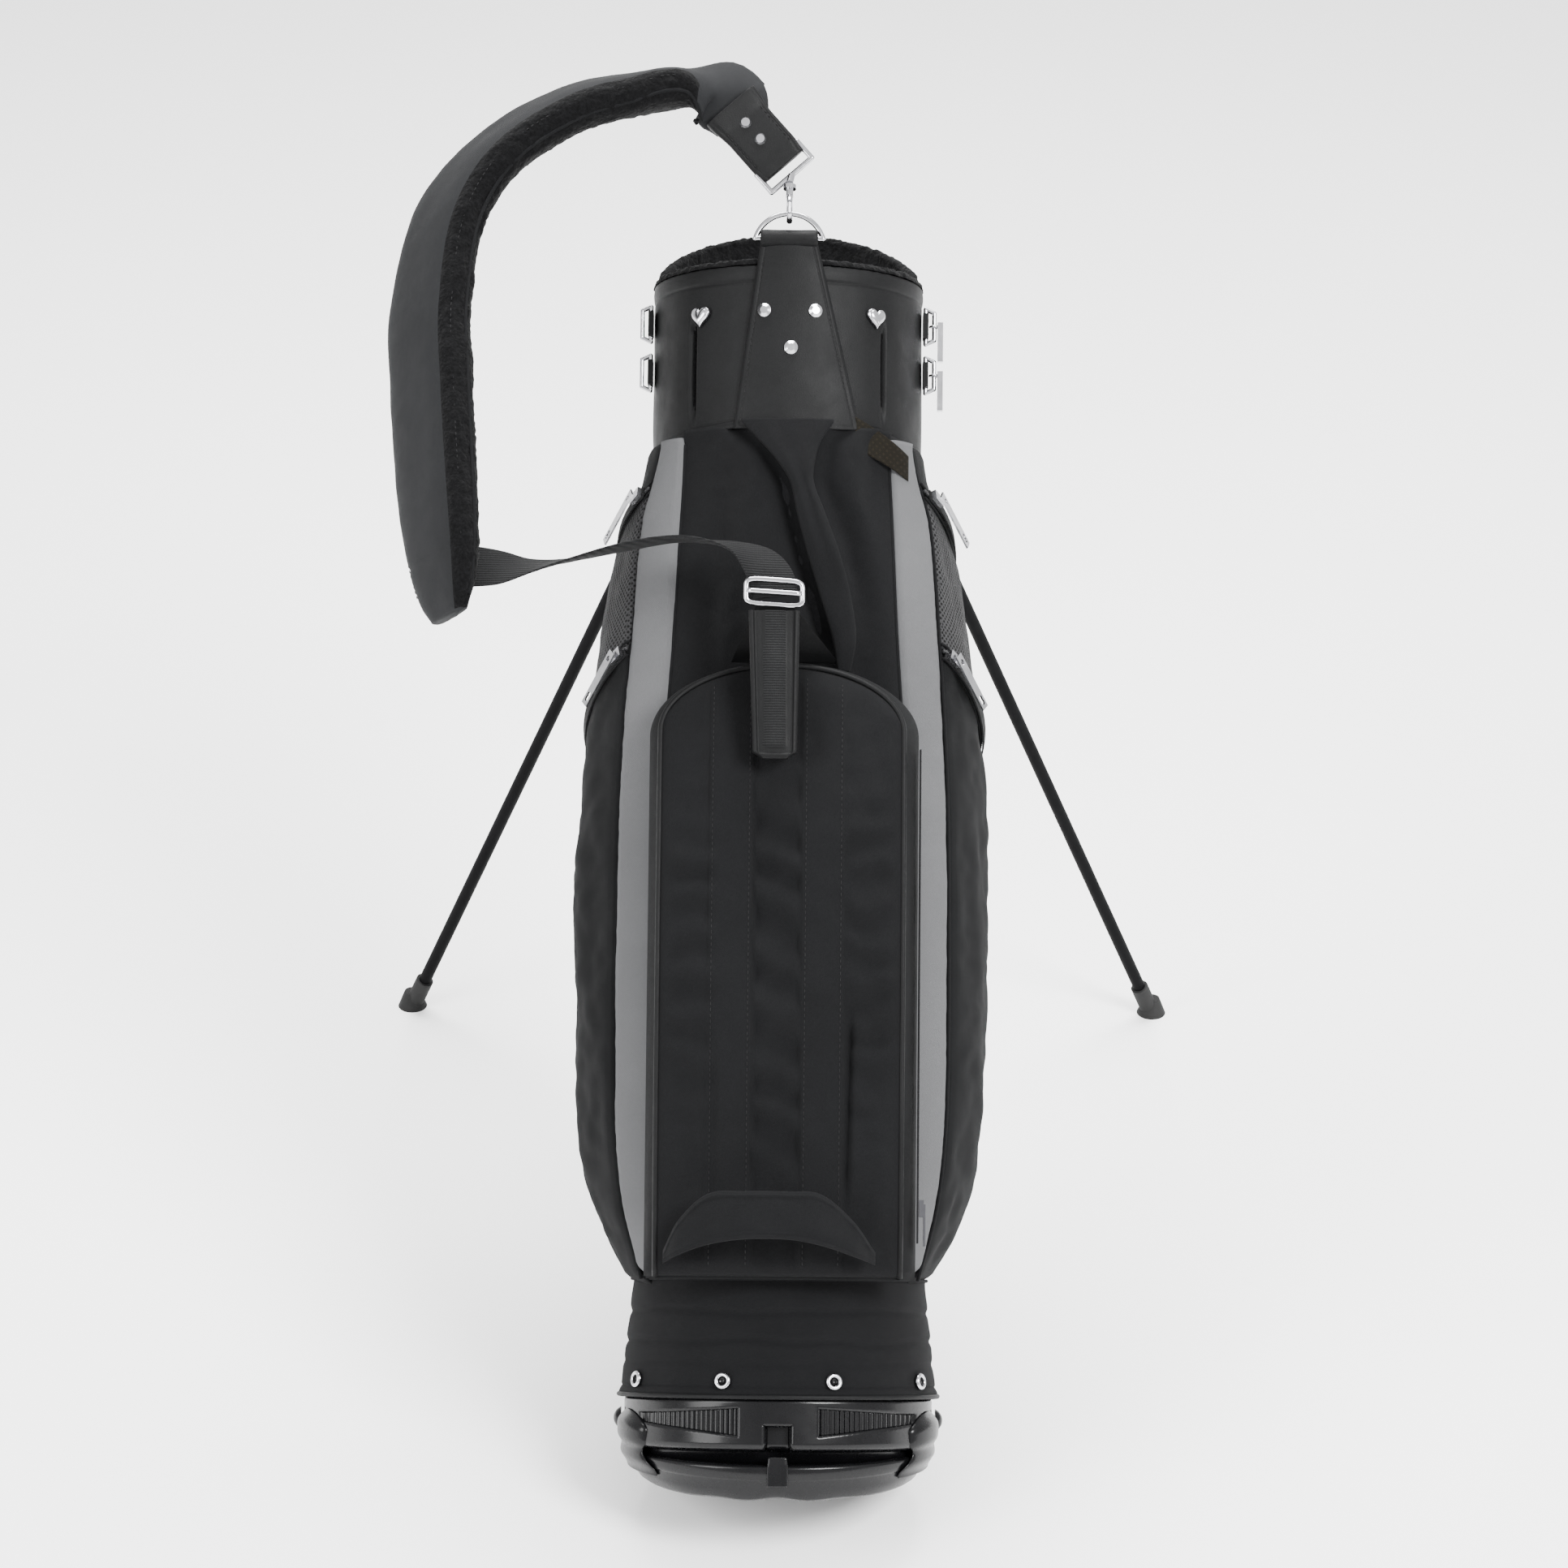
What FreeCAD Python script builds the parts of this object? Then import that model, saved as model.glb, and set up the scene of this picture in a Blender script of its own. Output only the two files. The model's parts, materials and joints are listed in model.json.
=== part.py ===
import FreeCAD
import Part
import math
import os

# Golf stand bag leaning on its open legs. Millimetres.
# Every piece is drawn upright in the bag's own frame: x to the right, y to the back
# (the side of the legs), z up along the bag. The whole bag is then leaned back onto its
# heel, so that z = 0 is the ground and the origin is the middle of the heel face.

V = FreeCAD.Vector

# ---- driving dimensions -------------------------------------------------------------
LEAN = 35.0              # lean of the bag from upright, degrees
GAP = 0.3                # room between neighbouring soft pieces

PIVOT_Z = 52.0           # hinge line of the foot tray
TRAY_OPEN = 9.5          # opening of the foot tray with the legs out, degrees
TRAY_FLOOR_Z = 15.0      # underside of the closed tray
TRAY_RIM_Z = 29.0
TRAY_WALL = 3.0
TRAY_TAB_HALF = 8.0      # upright tab at the tray's front, in the cup's notch
TRAY_TAB_TOP_Z = 33.0
NOTCH_HALF = 10.5
NOTCH_TOP_Z = 50.0
TRAY_TOP_HALF = (106.0, 95.0)
TRAY_BOTTOM_HALF = (97.0, 86.0)
HEEL_START_Y = 75.0      # where the heel face begins on the tray's underside
HEEL_BLOCK_Y = 72.0
PIN_R = 3.0
PIN_CLEARANCE = 0.05
KNOB_R = 8.5

BAND_HALF = (108.0, 98.0)
BAND_BOTTOM_Z = 34.0
BAND_TOP_Z = 66.0
CUP_WALL = 4.0
SKIRT_TOP_HALF = (100.0, 73.5)
SKIRT_LOW_HALF = (92.0, 68.0)
SKIRT_SHIFT_Y = -7.5
SKIRT_BOTTOM_Z = 19.0

CUFF_SKIRT_BOTTOM = (113.0, 102.0, 70.0)   # half width, half depth, height
CUFF_SKIRT_TOP = (104.0, 98.5, 149.0)
CLOTH = 2.0

LINING_APOTHEM = 90.0
LINING_STAVES = 12
TUBE_R = 98.6            # inside of the outer panels
BODY_BOTTOM_Z = 150.5
BODY_TOP_Z = 744.0
STAY_R = 4.0
STAY_X = 84.5

CUFF_R = 98.0
CUFF_INNER_R = 95.6
CUFF_BOTTOM_Z = 745.0
RIM_Z = 872.0
RIM_BACK_SLOPE = 0.59    # rise of the back half of the rim
FUR_INNER_R = 92.3
FUR_BOTTOM_Z = 800.0
RING_R = 92.0
RING_INNER_R = 88.5
RING_TOP_Z = 830.0
DIVIDER_Z = 812.0
DIVIDER_HALF = 6.0
DIVIDER_HEIGHT = 16.0

LEG_PIVOT = V(73.0, 118.0, 790.0)
LEG_FOOT = V(309.0, 583.0, 0.0)            # its z is set by the ground
LEG_TUBE_R = 5.0
LEG_HEAD_R = 8.0
LEG_HEAD_LENGTH = 14.0
EAR_THICK = 4.0
FOOT_R = 12.0
FOOT_LENGTH = 30.0

ROD_R = 2.5
ROD_Y = 107.5
ROD_FOOT_Z = 65.0
ROD_TOP_Z = 763.0
ROD_FOOT_END_Y = 89.0

POCKET_BOTTOM_Z = 158.0
POCKET_SHOULDER_Z = 530.0
POCKET_TOP_Z = 580.0
POCKET_BACK_HALF = 97.0
POCKET_FRONT_HALF = 88.0
POCKET_BACK_Y = -104.0
POCKET_FRONT_Y = -150.0

WIRE_R = 1.9
D_BAR = V(0, -100.0, 888.0)
D_HALF = 24.0
D_APEX_Z = 906.0
HOOK_LOOP_Z = 909.5
HOOK_LOOP_R = 8.5
HOOK_WIRE_R = 2.2
SWIVEL = V(0, -98.5, 925.0)
BUCKLE = V(0, -150.0, 632.0)

# ---- small tools --------------------------------------------------------------------


def block(x0, x1, y0, y1, z0, z1):
    return Part.makeBox(x1 - x0, y1 - y0, z1 - z0, V(x0, y0, z0))


def rod(start, end, radius):
    return Part.makeCylinder(radius, (end - start).Length, start, end - start)


def oval(half_x, half_y, z, shift_y=0.0):
    return Part.Wire([Part.Ellipse(V(0, shift_y, z), half_x, half_y).toShape()])


def oval_prism(half_x, half_y, z0, z1, shift_y=0.0):
    return Part.Face(oval(half_x, half_y, z0, shift_y)).extrude(V(0, 0, z1 - z0))


def oval_taper(low, high):
    """Solid between two level ovals, each (half width, half depth, height)."""
    return Part.makeLoft([oval(*low), oval(*high)], True, True)


def side_profile(points, half_x=200.0):
    """Prism across the bag from (y, z) corners."""
    corners = [V(-half_x, y, z) for y, z in points]
    face = Part.Face(Part.makePolygon(corners + corners[:1]))
    return face.extrude(V(2 * half_x, 0, 0))


def tube(outer, inner, z0, z1):
    return Part.makeCylinder(outer, z1 - z0, V(0, 0, z0)).cut(
        Part.makeCylinder(inner, z1 - z0, V(0, 0, z0)))


def mirrored(shape):
    return shape.mirror(V(0, 0, 0), V(1, 0, 0))


def both_sides(shape):
    return Part.makeCompound([shape, mirrored(shape)])


def plate(centre, along, across, length, width, thickness):
    """Flat plate centred on a point, from its long and wide directions."""
    u = V(along).normalize()
    n = u.cross(V(across)).normalize()
    v = n.cross(u)
    corners = []
    for a, b in ((-1, -1), (1, -1), (1, 1), (-1, 1)):
        corners.append(centre + u * (a * length / 2) + v * (b * width / 2) - n * (thickness / 2))
    return Part.Face(Part.makePolygon(corners + corners[:1])).extrude(n * thickness)


def section(centre, across, out, width, thickness):
    """Closed rectangle for a loft: width along across, thickness along out."""
    a = V(across).normalize() * (width / 2)
    o = V(out).normalize() * (thickness / 2)
    corners = [centre - a - o, centre + a - o, centre + a + o, centre - a + o]
    return Part.makePolygon(corners + corners[:1])


def ring_pipe(points, radius):
    """Closed wire frame of straight rods with round corners."""
    pieces = []
    for here, there in zip(points, points[1:] + points[:1]):
        pieces.append(rod(here, there, radius))
        pieces.append(Part.makeSphere(radius, here))
    return pieces[0].fuse(pieces[1:]).removeSplitter()


def lean_vector(v):
    return FreeCAD.Rotation(V(1, 0, 0), -LEAN).multVec(v)


# ---- derived places -----------------------------------------------------------------
TRAY_AXIS_POINT = V(0, 0, PIVOT_Z)
FACET_ANGLE = math.radians(LEAN - TRAY_OPEN)
HEEL_LENGTH = (TRAY_TOP_HALF[1] - HEEL_START_Y) / math.cos(FACET_ANGLE)


def opened(v):
    """Where a point of the closed tray is with the tray open."""
    return TRAY_AXIS_POINT + FreeCAD.Rotation(V(1, 0, 0), TRAY_OPEN).multVec(v - TRAY_AXIS_POINT)


HEEL_CENTRE = opened(V(0, HEEL_START_Y + HEEL_LENGTH / 2 * math.cos(FACET_ANGLE),
                       TRAY_FLOOR_Z + HEEL_LENGTH / 2 * math.sin(FACET_ANGLE)))
GROUND_SLOPE = math.tan(math.radians(LEAN))
LEG_FOOT.z = HEEL_CENTRE.z + (LEG_FOOT.y - HEEL_CENTRE.y) * GROUND_SLOPE
LEG_DIR = (LEG_FOOT - LEG_PIVOT).normalize()
LEG_AXIS = LEG_DIR.cross(V(0, 0, -1)).normalize()
LEG_FOLD = math.degrees(LEG_DIR.getAngle(V(0, 0, -1)))
TILT_RISE = math.tan(math.radians(TRAY_OPEN))
STRAP_AXIS = (SWIVEL - BUCKLE).normalize()


def strap_y(z):
    """Depth of the strap's plane at a height."""
    return SWIVEL.y + (z - SWIVEL.z) * STRAP_AXIS.y / STRAP_AXIS.z


# ---- base ---------------------------------------------------------------------------


def back_relief(z0):
    """Everything below the plane that rises to the back like the open tray."""
    return side_profile([(0, z0), (140, z0 + 140 * TILT_RISE), (140, -60), (0, -60)])


def skirt_taper(wall, z0, z1):
    """Tapered oval under the band, with its wall taken off if asked."""
    low = (SKIRT_LOW_HALF[0] - wall, SKIRT_LOW_HALF[1] - wall, z0, SKIRT_SHIFT_Y)
    high = (SKIRT_TOP_HALF[0] - wall, SKIRT_TOP_HALF[1] - wall, z1, SKIRT_SHIFT_Y)
    return oval_taper(low, high)


def base_cup():
    band = oval_prism(*BAND_HALF, BAND_BOTTOM_Z, BAND_TOP_Z).cut(back_relief(BAND_BOTTOM_Z - 3.5))
    skirt = skirt_taper(0.0, SKIRT_BOTTOM_Z, BAND_BOTTOM_Z + 2).cut(back_relief(SKIRT_BOTTOM_Z))
    hollow_below = skirt_taper(CUP_WALL, SKIRT_BOTTOM_Z - 0.5, BAND_BOTTOM_Z)
    inside = oval_prism(BAND_HALF[0] - CUP_WALL, BAND_HALF[1] - CUP_WALL,
                        BAND_BOTTOM_Z + CUP_WALL, BAND_TOP_Z + 1)
    inside = inside.cut(back_relief(BAND_BOTTOM_Z - 3.5 + CUP_WALL))
    bore = rod(V(-120, 0, PIVOT_Z), V(120, 0, PIVOT_Z), PIN_R + PIN_CLEARANCE)
    notch = block(-NOTCH_HALF, NOTCH_HALF, -90, -60, 0, NOTCH_TOP_Z)
    slot = block(-6, 6, 84, 120, 30, 80)
    return band.fuse(skirt).cut([hollow_below, inside, bore, notch, slot])


def tray_ear():
    web = block(103, 112, -8, 8, TRAY_FLOOR_Z + 7, TRAY_RIM_Z - 1)
    post = block(108.6, 112, -8, 8, TRAY_FLOOR_Z + 7, PIVOT_Z)
    head = rod(V(108.6, 0, PIVOT_Z), V(112, 0, PIVOT_Z), 8)
    bore = rod(V(100, 0, PIVOT_Z), V(120, 0, PIVOT_Z), PIN_R)
    return web.fuse([post, head]).cut(bore)


def foot_tray():
    outer = oval_taper((*TRAY_BOTTOM_HALF, TRAY_FLOOR_Z), (*TRAY_TOP_HALF, TRAY_RIM_Z))
    inner = oval_taper((TRAY_BOTTOM_HALF[0] - TRAY_WALL, TRAY_BOTTOM_HALF[1] - TRAY_WALL,
                        TRAY_FLOOR_Z + TRAY_WALL),
                       (TRAY_TOP_HALF[0] - TRAY_WALL, TRAY_TOP_HALF[1] - TRAY_WALL,
                        TRAY_RIM_Z + 0.01))
    heel = outer.common(block(-45, 45, HEEL_BLOCK_Y, 120, 0, 60))
    tab = block(-TRAY_TAB_HALF, TRAY_TAB_HALF, -82, -78, TRAY_FLOOR_Z + 1, TRAY_TAB_TOP_Z)
    lug_low = TRAY_RIM_Z - 4
    lug = block(-4, 4, 85, 92, lug_low, PIVOT_Z - 5)
    shape = outer.cut(inner).fuse([heel, tab, lug, tray_ear(), mirrored(tray_ear())])
    run = 60.0
    facet = side_profile([(HEEL_START_Y, TRAY_FLOOR_Z),
                          (HEEL_START_Y + run * math.cos(FACET_ANGLE),
                           TRAY_FLOOR_Z + run * math.sin(FACET_ANGLE)),
                          (HEEL_START_Y + run, -20), (HEEL_START_Y, -20)])
    shape = shape.cut(facet)
    shape.rotate(TRAY_AXIS_POINT, V(1, 0, 0), TRAY_OPEN)
    return shape


def tray_hinge_pins():
    dome = Part.makeSphere(KNOB_R, V(109, 0, PIVOT_Z)).common(block(112, 130, -20, 20, 0, 100))
    return both_sides(rod(V(101, 0, PIVOT_Z), V(112.5, 0, PIVOT_Z), PIN_R).fuse(dome))


def base_nubs():
    nubs = []
    for x, y in ((62, -58), (-62, -58), (62, 40), (-62, 40)):
        nubs.append(Part.makeCone(6.0, 7.0, 3.0, V(x, y, TRAY_FLOOR_Z - 3.0)))
    group = Part.makeCompound(nubs)
    group.rotate(TRAY_AXIS_POINT, V(1, 0, 0), TRAY_OPEN)
    return group


def thin(half):
    return (half[0] - CLOTH, half[1] - CLOTH, half[2])


def base_cuff():
    return oval_taper(CUFF_SKIRT_BOTTOM, CUFF_SKIRT_TOP).cut(
        oval_taper(thin(CUFF_SKIRT_BOTTOM), thin(CUFF_SKIRT_TOP)))


def base_cuff_snaps():
    z = 80.0
    share = (z - CUFF_SKIRT_BOTTOM[2]) / (CUFF_SKIRT_TOP[2] - CUFF_SKIRT_BOTTOM[2])
    half_x = CUFF_SKIRT_BOTTOM[0] + share * (CUFF_SKIRT_TOP[0] - CUFF_SKIRT_BOTTOM[0])
    half_y = CUFF_SKIRT_BOTTOM[1] + share * (CUFF_SKIRT_TOP[1] - CUFF_SKIRT_BOTTOM[1])
    snaps = []
    for turn in (20, 62, 118, 155, 205, 242, 298, 340):
        a = math.radians(turn)
        at = V(half_x * math.sin(a), -half_y * math.cos(a), z)
        out = V(at.x / half_x ** 2, at.y / half_y ** 2, 0).normalize() + V(0, 0, 0.09)
        out.normalize()
        snaps.append(Part.makeCone(4.6, 3.2, 2.0, at + out * 0.3, out))
    return Part.makeCompound(snaps)


# ---- body ---------------------------------------------------------------------------


def body_lining():
    half = LINING_APOTHEM * math.tan(math.pi / LINING_STAVES)
    stave = block(-half, half, LINING_APOTHEM, LINING_APOTHEM + CLOTH, BAND_TOP_Z + 2, BODY_TOP_Z)
    staves = []
    for i in range(LINING_STAVES):
        staves.append(stave.rotated(V(0, 0, 0), V(0, 0, 1), i * 360.0 / LINING_STAVES))
    return Part.makeCompound(staves)


def stay_rods():
    return both_sides(rod(V(STAY_X, 0, BAND_BOTTOM_Z + CUP_WALL + GAP), V(STAY_X, 0, BODY_TOP_Z), STAY_R))


def on_tube(turn, radius=TUBE_R):
    """Point of the tube at a turn from the front towards the right."""
    a = math.radians(turn)
    return V(radius * math.sin(a), -radius * math.cos(a), 0)


def front_panel():
    shell = tube(TUBE_R + 3.0, TUBE_R, BODY_BOTTOM_Z, BODY_TOP_Z)
    wedge = [V(0, 0, 0), on_tube(-45.5, 200), on_tube(-15, 200), on_tube(15, 200), on_tube(45.5, 200)]
    sector = Part.Face(Part.makePolygon(wedge + wedge[:1])).extrude(V(0, 0, 900))
    return shell.common(sector)


def back_panel():
    return block(-62, 62, 97, 103, BODY_BOTTOM_Z, BODY_TOP_Z)


# The right side at each height: (height, outer half width,
# stripe front corner x and y, stripe back corner x and y)
SIDE_LEVELS = [
    (BODY_BOTTOM_Z, 107.0, 77.0, -72.0, 97.0, -52.0),
    (204.0, 133.5, 84.0, -84.0, 108.0, -64.0),
    (274.0, 146.0, 88.0, -90.0, 113.0, -70.0),
    (420.0, 149.0, 88.0, -90.0, 113.0, -70.0),
    (510.0, 144.5, 86.0, -88.0, 112.0, -68.0),
    (605.0, 134.0, 80.0, -82.0, 108.0, -62.0),
    (690.0, 118.0, 76.0, -74.0, 103.0, -54.0),
    (722.0, 105.0, 74.5, -71.5, 95.5, -50.0),
    (BODY_TOP_Z, 100.5, 74.0, -70.0, 91.0, -48.0),
]
LOWER_SEAM_Z = 560.0
UPPER_SEAM_Z = 676.0


def side_level(z):
    """Level between the listed ones, by straight lines."""
    for low, high in zip(SIDE_LEVELS, SIDE_LEVELS[1:]):
        if z <= high[0]:
            share = (z - low[0]) / (high[0] - low[0])
            return [a + share * (b - a) for a, b in zip(low, high)]
    return list(SIDE_LEVELS[-1])


def levels_between(z0, z1):
    inner = [list(level) for level in SIDE_LEVELS if z0 + 1 < level[0] < z1 - 1]
    return [side_level(z0)] + inner + [side_level(z1)]


def stripe_wire(level):
    z, _, front_x, front_y, back_x, back_y = level
    corners = [on_tube(47.0), V(front_x, front_y, 0), V(back_x, back_y, 0), on_tube(62.0)]
    corners = [V(c.x, c.y, z) for c in corners]
    return Part.makePolygon(corners + corners[:1])


def side_arc(level, out=0.0):
    """Outer line of a side panel: front corner, widest point and back corner."""
    z, half, _, _, back_x, back_y = level
    return (V(back_x + out * 0.6, back_y + GAP - out * 0.3, z), V(half + out, 6.0, z),
            V(62.5 + out * 0.2, 101.0 + out * 0.6, z))


def side_wire(level):
    z = level[0]
    front, wide, back = side_arc(level)
    inner_front = on_tube(62.4) + V(0, 0, z)
    inner_mid = on_tube(100) + V(0, 0, z)
    inner_back = V(62.5, math.sqrt(TUBE_R ** 2 - 62.5 ** 2), z)
    return Part.Wire([
        Part.makeLine(inner_front, front),
        Part.Arc(front, wide, back).toShape(),
        Part.makeLine(back, inner_back),
        Part.Arc(inner_back, inner_mid, inner_front).toShape()])


def side_solid(z0, z1):
    return Part.makeLoft([side_wire(level) for level in levels_between(z0, z1)], True, True)


def stripes():
    levels = levels_between(BODY_BOTTOM_Z, BODY_TOP_Z)
    return both_sides(Part.makeLoft([stripe_wire(level) for level in levels], True, True))


def side_pockets():
    return both_sides(side_solid(BODY_BOTTOM_Z, LOWER_SEAM_Z))


def mesh_pockets():
    return both_sides(side_solid(LOWER_SEAM_Z + GAP, UPPER_SEAM_Z - GAP))


def shoulder_panels():
    return both_sides(side_solid(UPPER_SEAM_Z, BODY_TOP_Z))


def pocket_outline(half, top, y):
    low = POCKET_BOTTOM_Z
    left_low, right_low = V(-half, y, low), V(half, y, low)
    left_high, right_high = V(-half, y, POCKET_SHOULDER_Z), V(half, y, POCKET_SHOULDER_Z)
    return Part.Wire([
        Part.makeLine(left_low, right_low),
        Part.makeLine(right_low, right_high),
        Part.Arc(right_high, V(0, y, top), left_high).toShape(),
        Part.makeLine(left_high, left_low)])


def ball_pocket():
    block_shape = Part.makeLoft([pocket_outline(POCKET_BACK_HALF, POCKET_TOP_Z, POCKET_BACK_Y),
                                 pocket_outline(POCKET_FRONT_HALF, POCKET_TOP_Z - 6, POCKET_FRONT_Y - 2)],
                                True, True)
    start = V(-150, -128, POCKET_BOTTOM_Z)
    end = V(-150, -120, POCKET_TOP_Z)
    crown = Part.Wire([
        Part.Arc(start, V(-150, POCKET_FRONT_Y, 370), end).toShape(),
        Part.makeLine(end, V(-150, POCKET_BACK_Y, POCKET_TOP_Z)),
        Part.makeLine(V(-150, POCKET_BACK_Y, POCKET_TOP_Z), V(-150, POCKET_BACK_Y, POCKET_BOTTOM_Z)),
        Part.makeLine(V(-150, POCKET_BACK_Y, POCKET_BOTTOM_Z), start)])
    return block_shape.common(Part.Face(crown).extrude(V(300, 0, 0)))


# ---- top cuff -----------------------------------------------------------------------


def rim_cut(rise):
    high = RIM_Z + rise
    return side_profile([(-130, high), (0, high), (130, high + 130 * RIM_BACK_SLOPE),
                         (130, 1100), (-130, 1100)])


def cuff_shell():
    return tube(CUFF_R, CUFF_INNER_R, CUFF_BOTTOM_Z, 960).cut(rim_cut(0))


def cuff_fur_lining():
    return tube(CUFF_INNER_R - GAP, FUR_INNER_R, FUR_BOTTOM_Z, 960).cut(rim_cut(3.0))


def top_ring():
    return tube(RING_R, RING_INNER_R, CUFF_BOTTOM_Z, RING_TOP_Z)


def divider_bars():
    low, high = DIVIDER_Z, DIVIDER_Z + DIVIDER_HEIGHT
    reach = RING_INNER_R - 0.6
    across = block(-reach, reach, -DIVIDER_HALF, DIVIDER_HALF, low, high)
    back = block(-DIVIDER_HALF, DIVIDER_HALF, DIVIDER_HALF, reach, low, high)
    front = block(-DIVIDER_HALF, DIVIDER_HALF, -reach, -DIVIDER_HALF, low, high)
    round_r = 5.5
    across = across.makeFillet(round_r, [e for e in across.Edges if abs(e.tangentAt(0).x) > 0.9])
    return Part.makeCompound([across, back, front])


def front_tab():
    shell = tube(CUFF_R + 2.9, CUFF_R + GAP, 757, 884)
    corners = [V(-38, -130, 750), V(52, -130, 750), V(21, -130, 886), V(-21, -130, 886)]
    outline = Part.Face(Part.makePolygon(corners + corners[:1])).extrude(V(0, 60, 0))
    loop = rod(V(-19, D_BAR.y, D_BAR.z), V(19, D_BAR.y, D_BAR.z), 4.6)
    bore = rod(V(-30, D_BAR.y, D_BAR.z), V(30, D_BAR.y, D_BAR.z), WIRE_R + 0.35)
    return shell.common(outline).fuse(loop).cut(bore)


def stud_at(x, z, radius, dome, lift):
    y = -math.sqrt((CUFF_R + lift) ** 2 - x * x)
    out = V(x, y, 0).normalize()
    base = V(x, y, z) + out * 0.25
    body = Part.makeCylinder(radius, dome * 0.5, base, out)
    cap = Part.makeCone(radius, radius * 0.55, dome * 0.5, base + out * dome * 0.5, out)
    return body.fuse(cap)


def tab_rivets():
    return Part.makeCompound([stud_at(x, z, 4.8, 3.0, 3.0) for x, z in ((-17, 836), (19, 836), (2, 809))])


def heart_stud(x, z):
    lift = 0.4
    y = -math.sqrt((CUFF_R + lift) ** 2 - x * x)
    out = V(x, y, 0).normalize()
    side = V(-out.y, out.x, 0)
    up = V(0, 0, 1)
    base = V(x, y, z)
    lobe_r = 3.6
    pieces = []
    for s in (-1, 1):
        pieces.append(Part.makeCylinder(lobe_r, 2.4, base + side * (s * 3.0) + up * 2.0, out))
    tip = [base + side * -6.1, base + side * 6.1, base - up * 7.0]
    tip = [p + up * (0.2 if i < 2 else 0.0) for i, p in enumerate(tip)]
    pieces.append(Part.Face(Part.makePolygon(tip + tip[:1])).extrude(out * 2.4))
    return pieces[0].fuse(pieces[1:])


def heart_studs():
    return Part.makeCompound([heart_stud(-62, 835), heart_stud(62, 835)])


SIDE_TAB_Y = -14.0
SIDE_TAB_HEIGHTS = (842.0, 806.0)
SIDE_TAB_X = 97.9        # inner face of a side tab, just off the cuff
SIDE_TAB_THICK = 4.0
SIDE_BAR_X = 99.9        # ring's bar in the tab
SIDE_OUTER_X = 106.2     # ring's free bar
SIDE_WIRE_R = 1.6
CLASP_EYE_R = 3.0
CLASP_WIRE_R = 0.9


def side_ring_tabs():
    tabs = []
    for z in SIDE_TAB_HEIGHTS:
        body = block(SIDE_TAB_X, SIDE_TAB_X + SIDE_TAB_THICK, SIDE_TAB_Y - 7, SIDE_TAB_Y + 7, z - 9, z + 9)
        bore = rod(V(SIDE_BAR_X, SIDE_TAB_Y, z - 20), V(SIDE_BAR_X, SIDE_TAB_Y, z + 20), SIDE_WIRE_R + 0.1)
        tabs.append(both_sides(body.cut(bore)))
    return Part.makeCompound(tabs)


def side_rings():
    rings = []
    for z in SIDE_TAB_HEIGHTS:
        corners = [V(SIDE_BAR_X, SIDE_TAB_Y, z - 13), V(SIDE_BAR_X, SIDE_TAB_Y, z + 13),
                   V(SIDE_OUTER_X, SIDE_TAB_Y, z + 10), V(SIDE_OUTER_X, SIDE_TAB_Y, z - 10)]
        rings.append(both_sides(ring_pipe(corners, SIDE_WIRE_R)))
    return Part.makeCompound(rings)


def clasp_at(z):
    """Small clasp hanging from a side ring, with its eye round the ring's outer bar."""
    eye = Part.makeTorus(CLASP_EYE_R, CLASP_WIRE_R, V(SIDE_OUTER_X, SIDE_TAB_Y, z), V(0, 0, 1))
    body = block(SIDE_OUTER_X + 2.4, SIDE_OUTER_X + 6.4, SIDE_TAB_Y - 3.5, SIDE_TAB_Y + 3.5, z - 26, z + 3)
    return eye.fuse(body)


# ---- strap --------------------------------------------------------------------------

# Middle line of the pad, from the ring end round to the lower end:
# (x, height, turn of the pad about its own line in degrees, width, thickness)
PAD_LINE = [
    (-56.0, 996.0, 0.0, 62.0, 26.0),
    (-104.0, 984.0, 0.0, 72.0, 30.0),
    (-160.0, 968.0, 6.0, 76.0, 30.0),
    (-208.0, 938.0, 16.0, 78.0, 28.0),
    (-238.0, 896.0, 26.0, 78.0, 26.0),
    (-250.0, 830.0, 30.0, 78.0, 26.0),
    (-247.0, 770.0, 30.0, 78.0, 26.0),
    (-240.0, 700.0, 30.0, 76.0, 26.0),
    (-236.0, 655.0, 30.0, 70.0, 24.0),
    (-233.0, 618.0, 30.0, 46.0, 14.0),
]

# Middle line of the webbing: (x, height, turn of its width from depthwise to crosswise)
WEBBING_LINE = [
    (-212.0, 643.0, 45.0),
    (-190.0, 641.0, 28.0),
    (-150.0, 648.0, 8.0),
    (-112.0, 657.0, 0.0),
    (-78.0, 661.0, 10.0),
    (-54.0, 657.0, 30.0),
    (-36.0, 648.0, 52.0),
]
WEBBING_WIDTH = 36.0


def line_sections(line):
    """(centre, tangent) along a line of (x, height, ...) places."""
    centres = [V(p[0], strap_y(p[1]), p[1]) for p in line]
    tangents = []
    for i in range(len(centres)):
        before = centres[max(i - 1, 0)]
        after = centres[min(i + 1, len(centres) - 1)]
        tangents.append((after - before).normalize())
    return list(zip(centres, tangents))


def shoulder_pad():
    wires = []
    for (_, _, turn, width, thick), (centre, tangent) in zip(PAD_LINE, line_sections(PAD_LINE)):
        depth = V(0, 1, 0) - tangent * tangent.y
        across = FreeCAD.Rotation(tangent, -turn).multVec(depth.normalize())
        wires.append(section(centre, across, tangent.cross(across), width, thick))
    return Part.makeLoft(wires, True, True)


def strap_webbing():
    wires = []
    for (_, _, turn), (centre, tangent) in zip(WEBBING_LINE, line_sections(WEBBING_LINE)):
        depth = V(0, 1, 0) - tangent * tangent.y
        across = FreeCAD.Rotation(tangent, turn).multVec(depth.normalize())
        wires.append(section(centre, across, tangent.cross(across), WEBBING_WIDTH, 2.6))
    return Part.makeLoft(wires, True, True)


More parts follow.
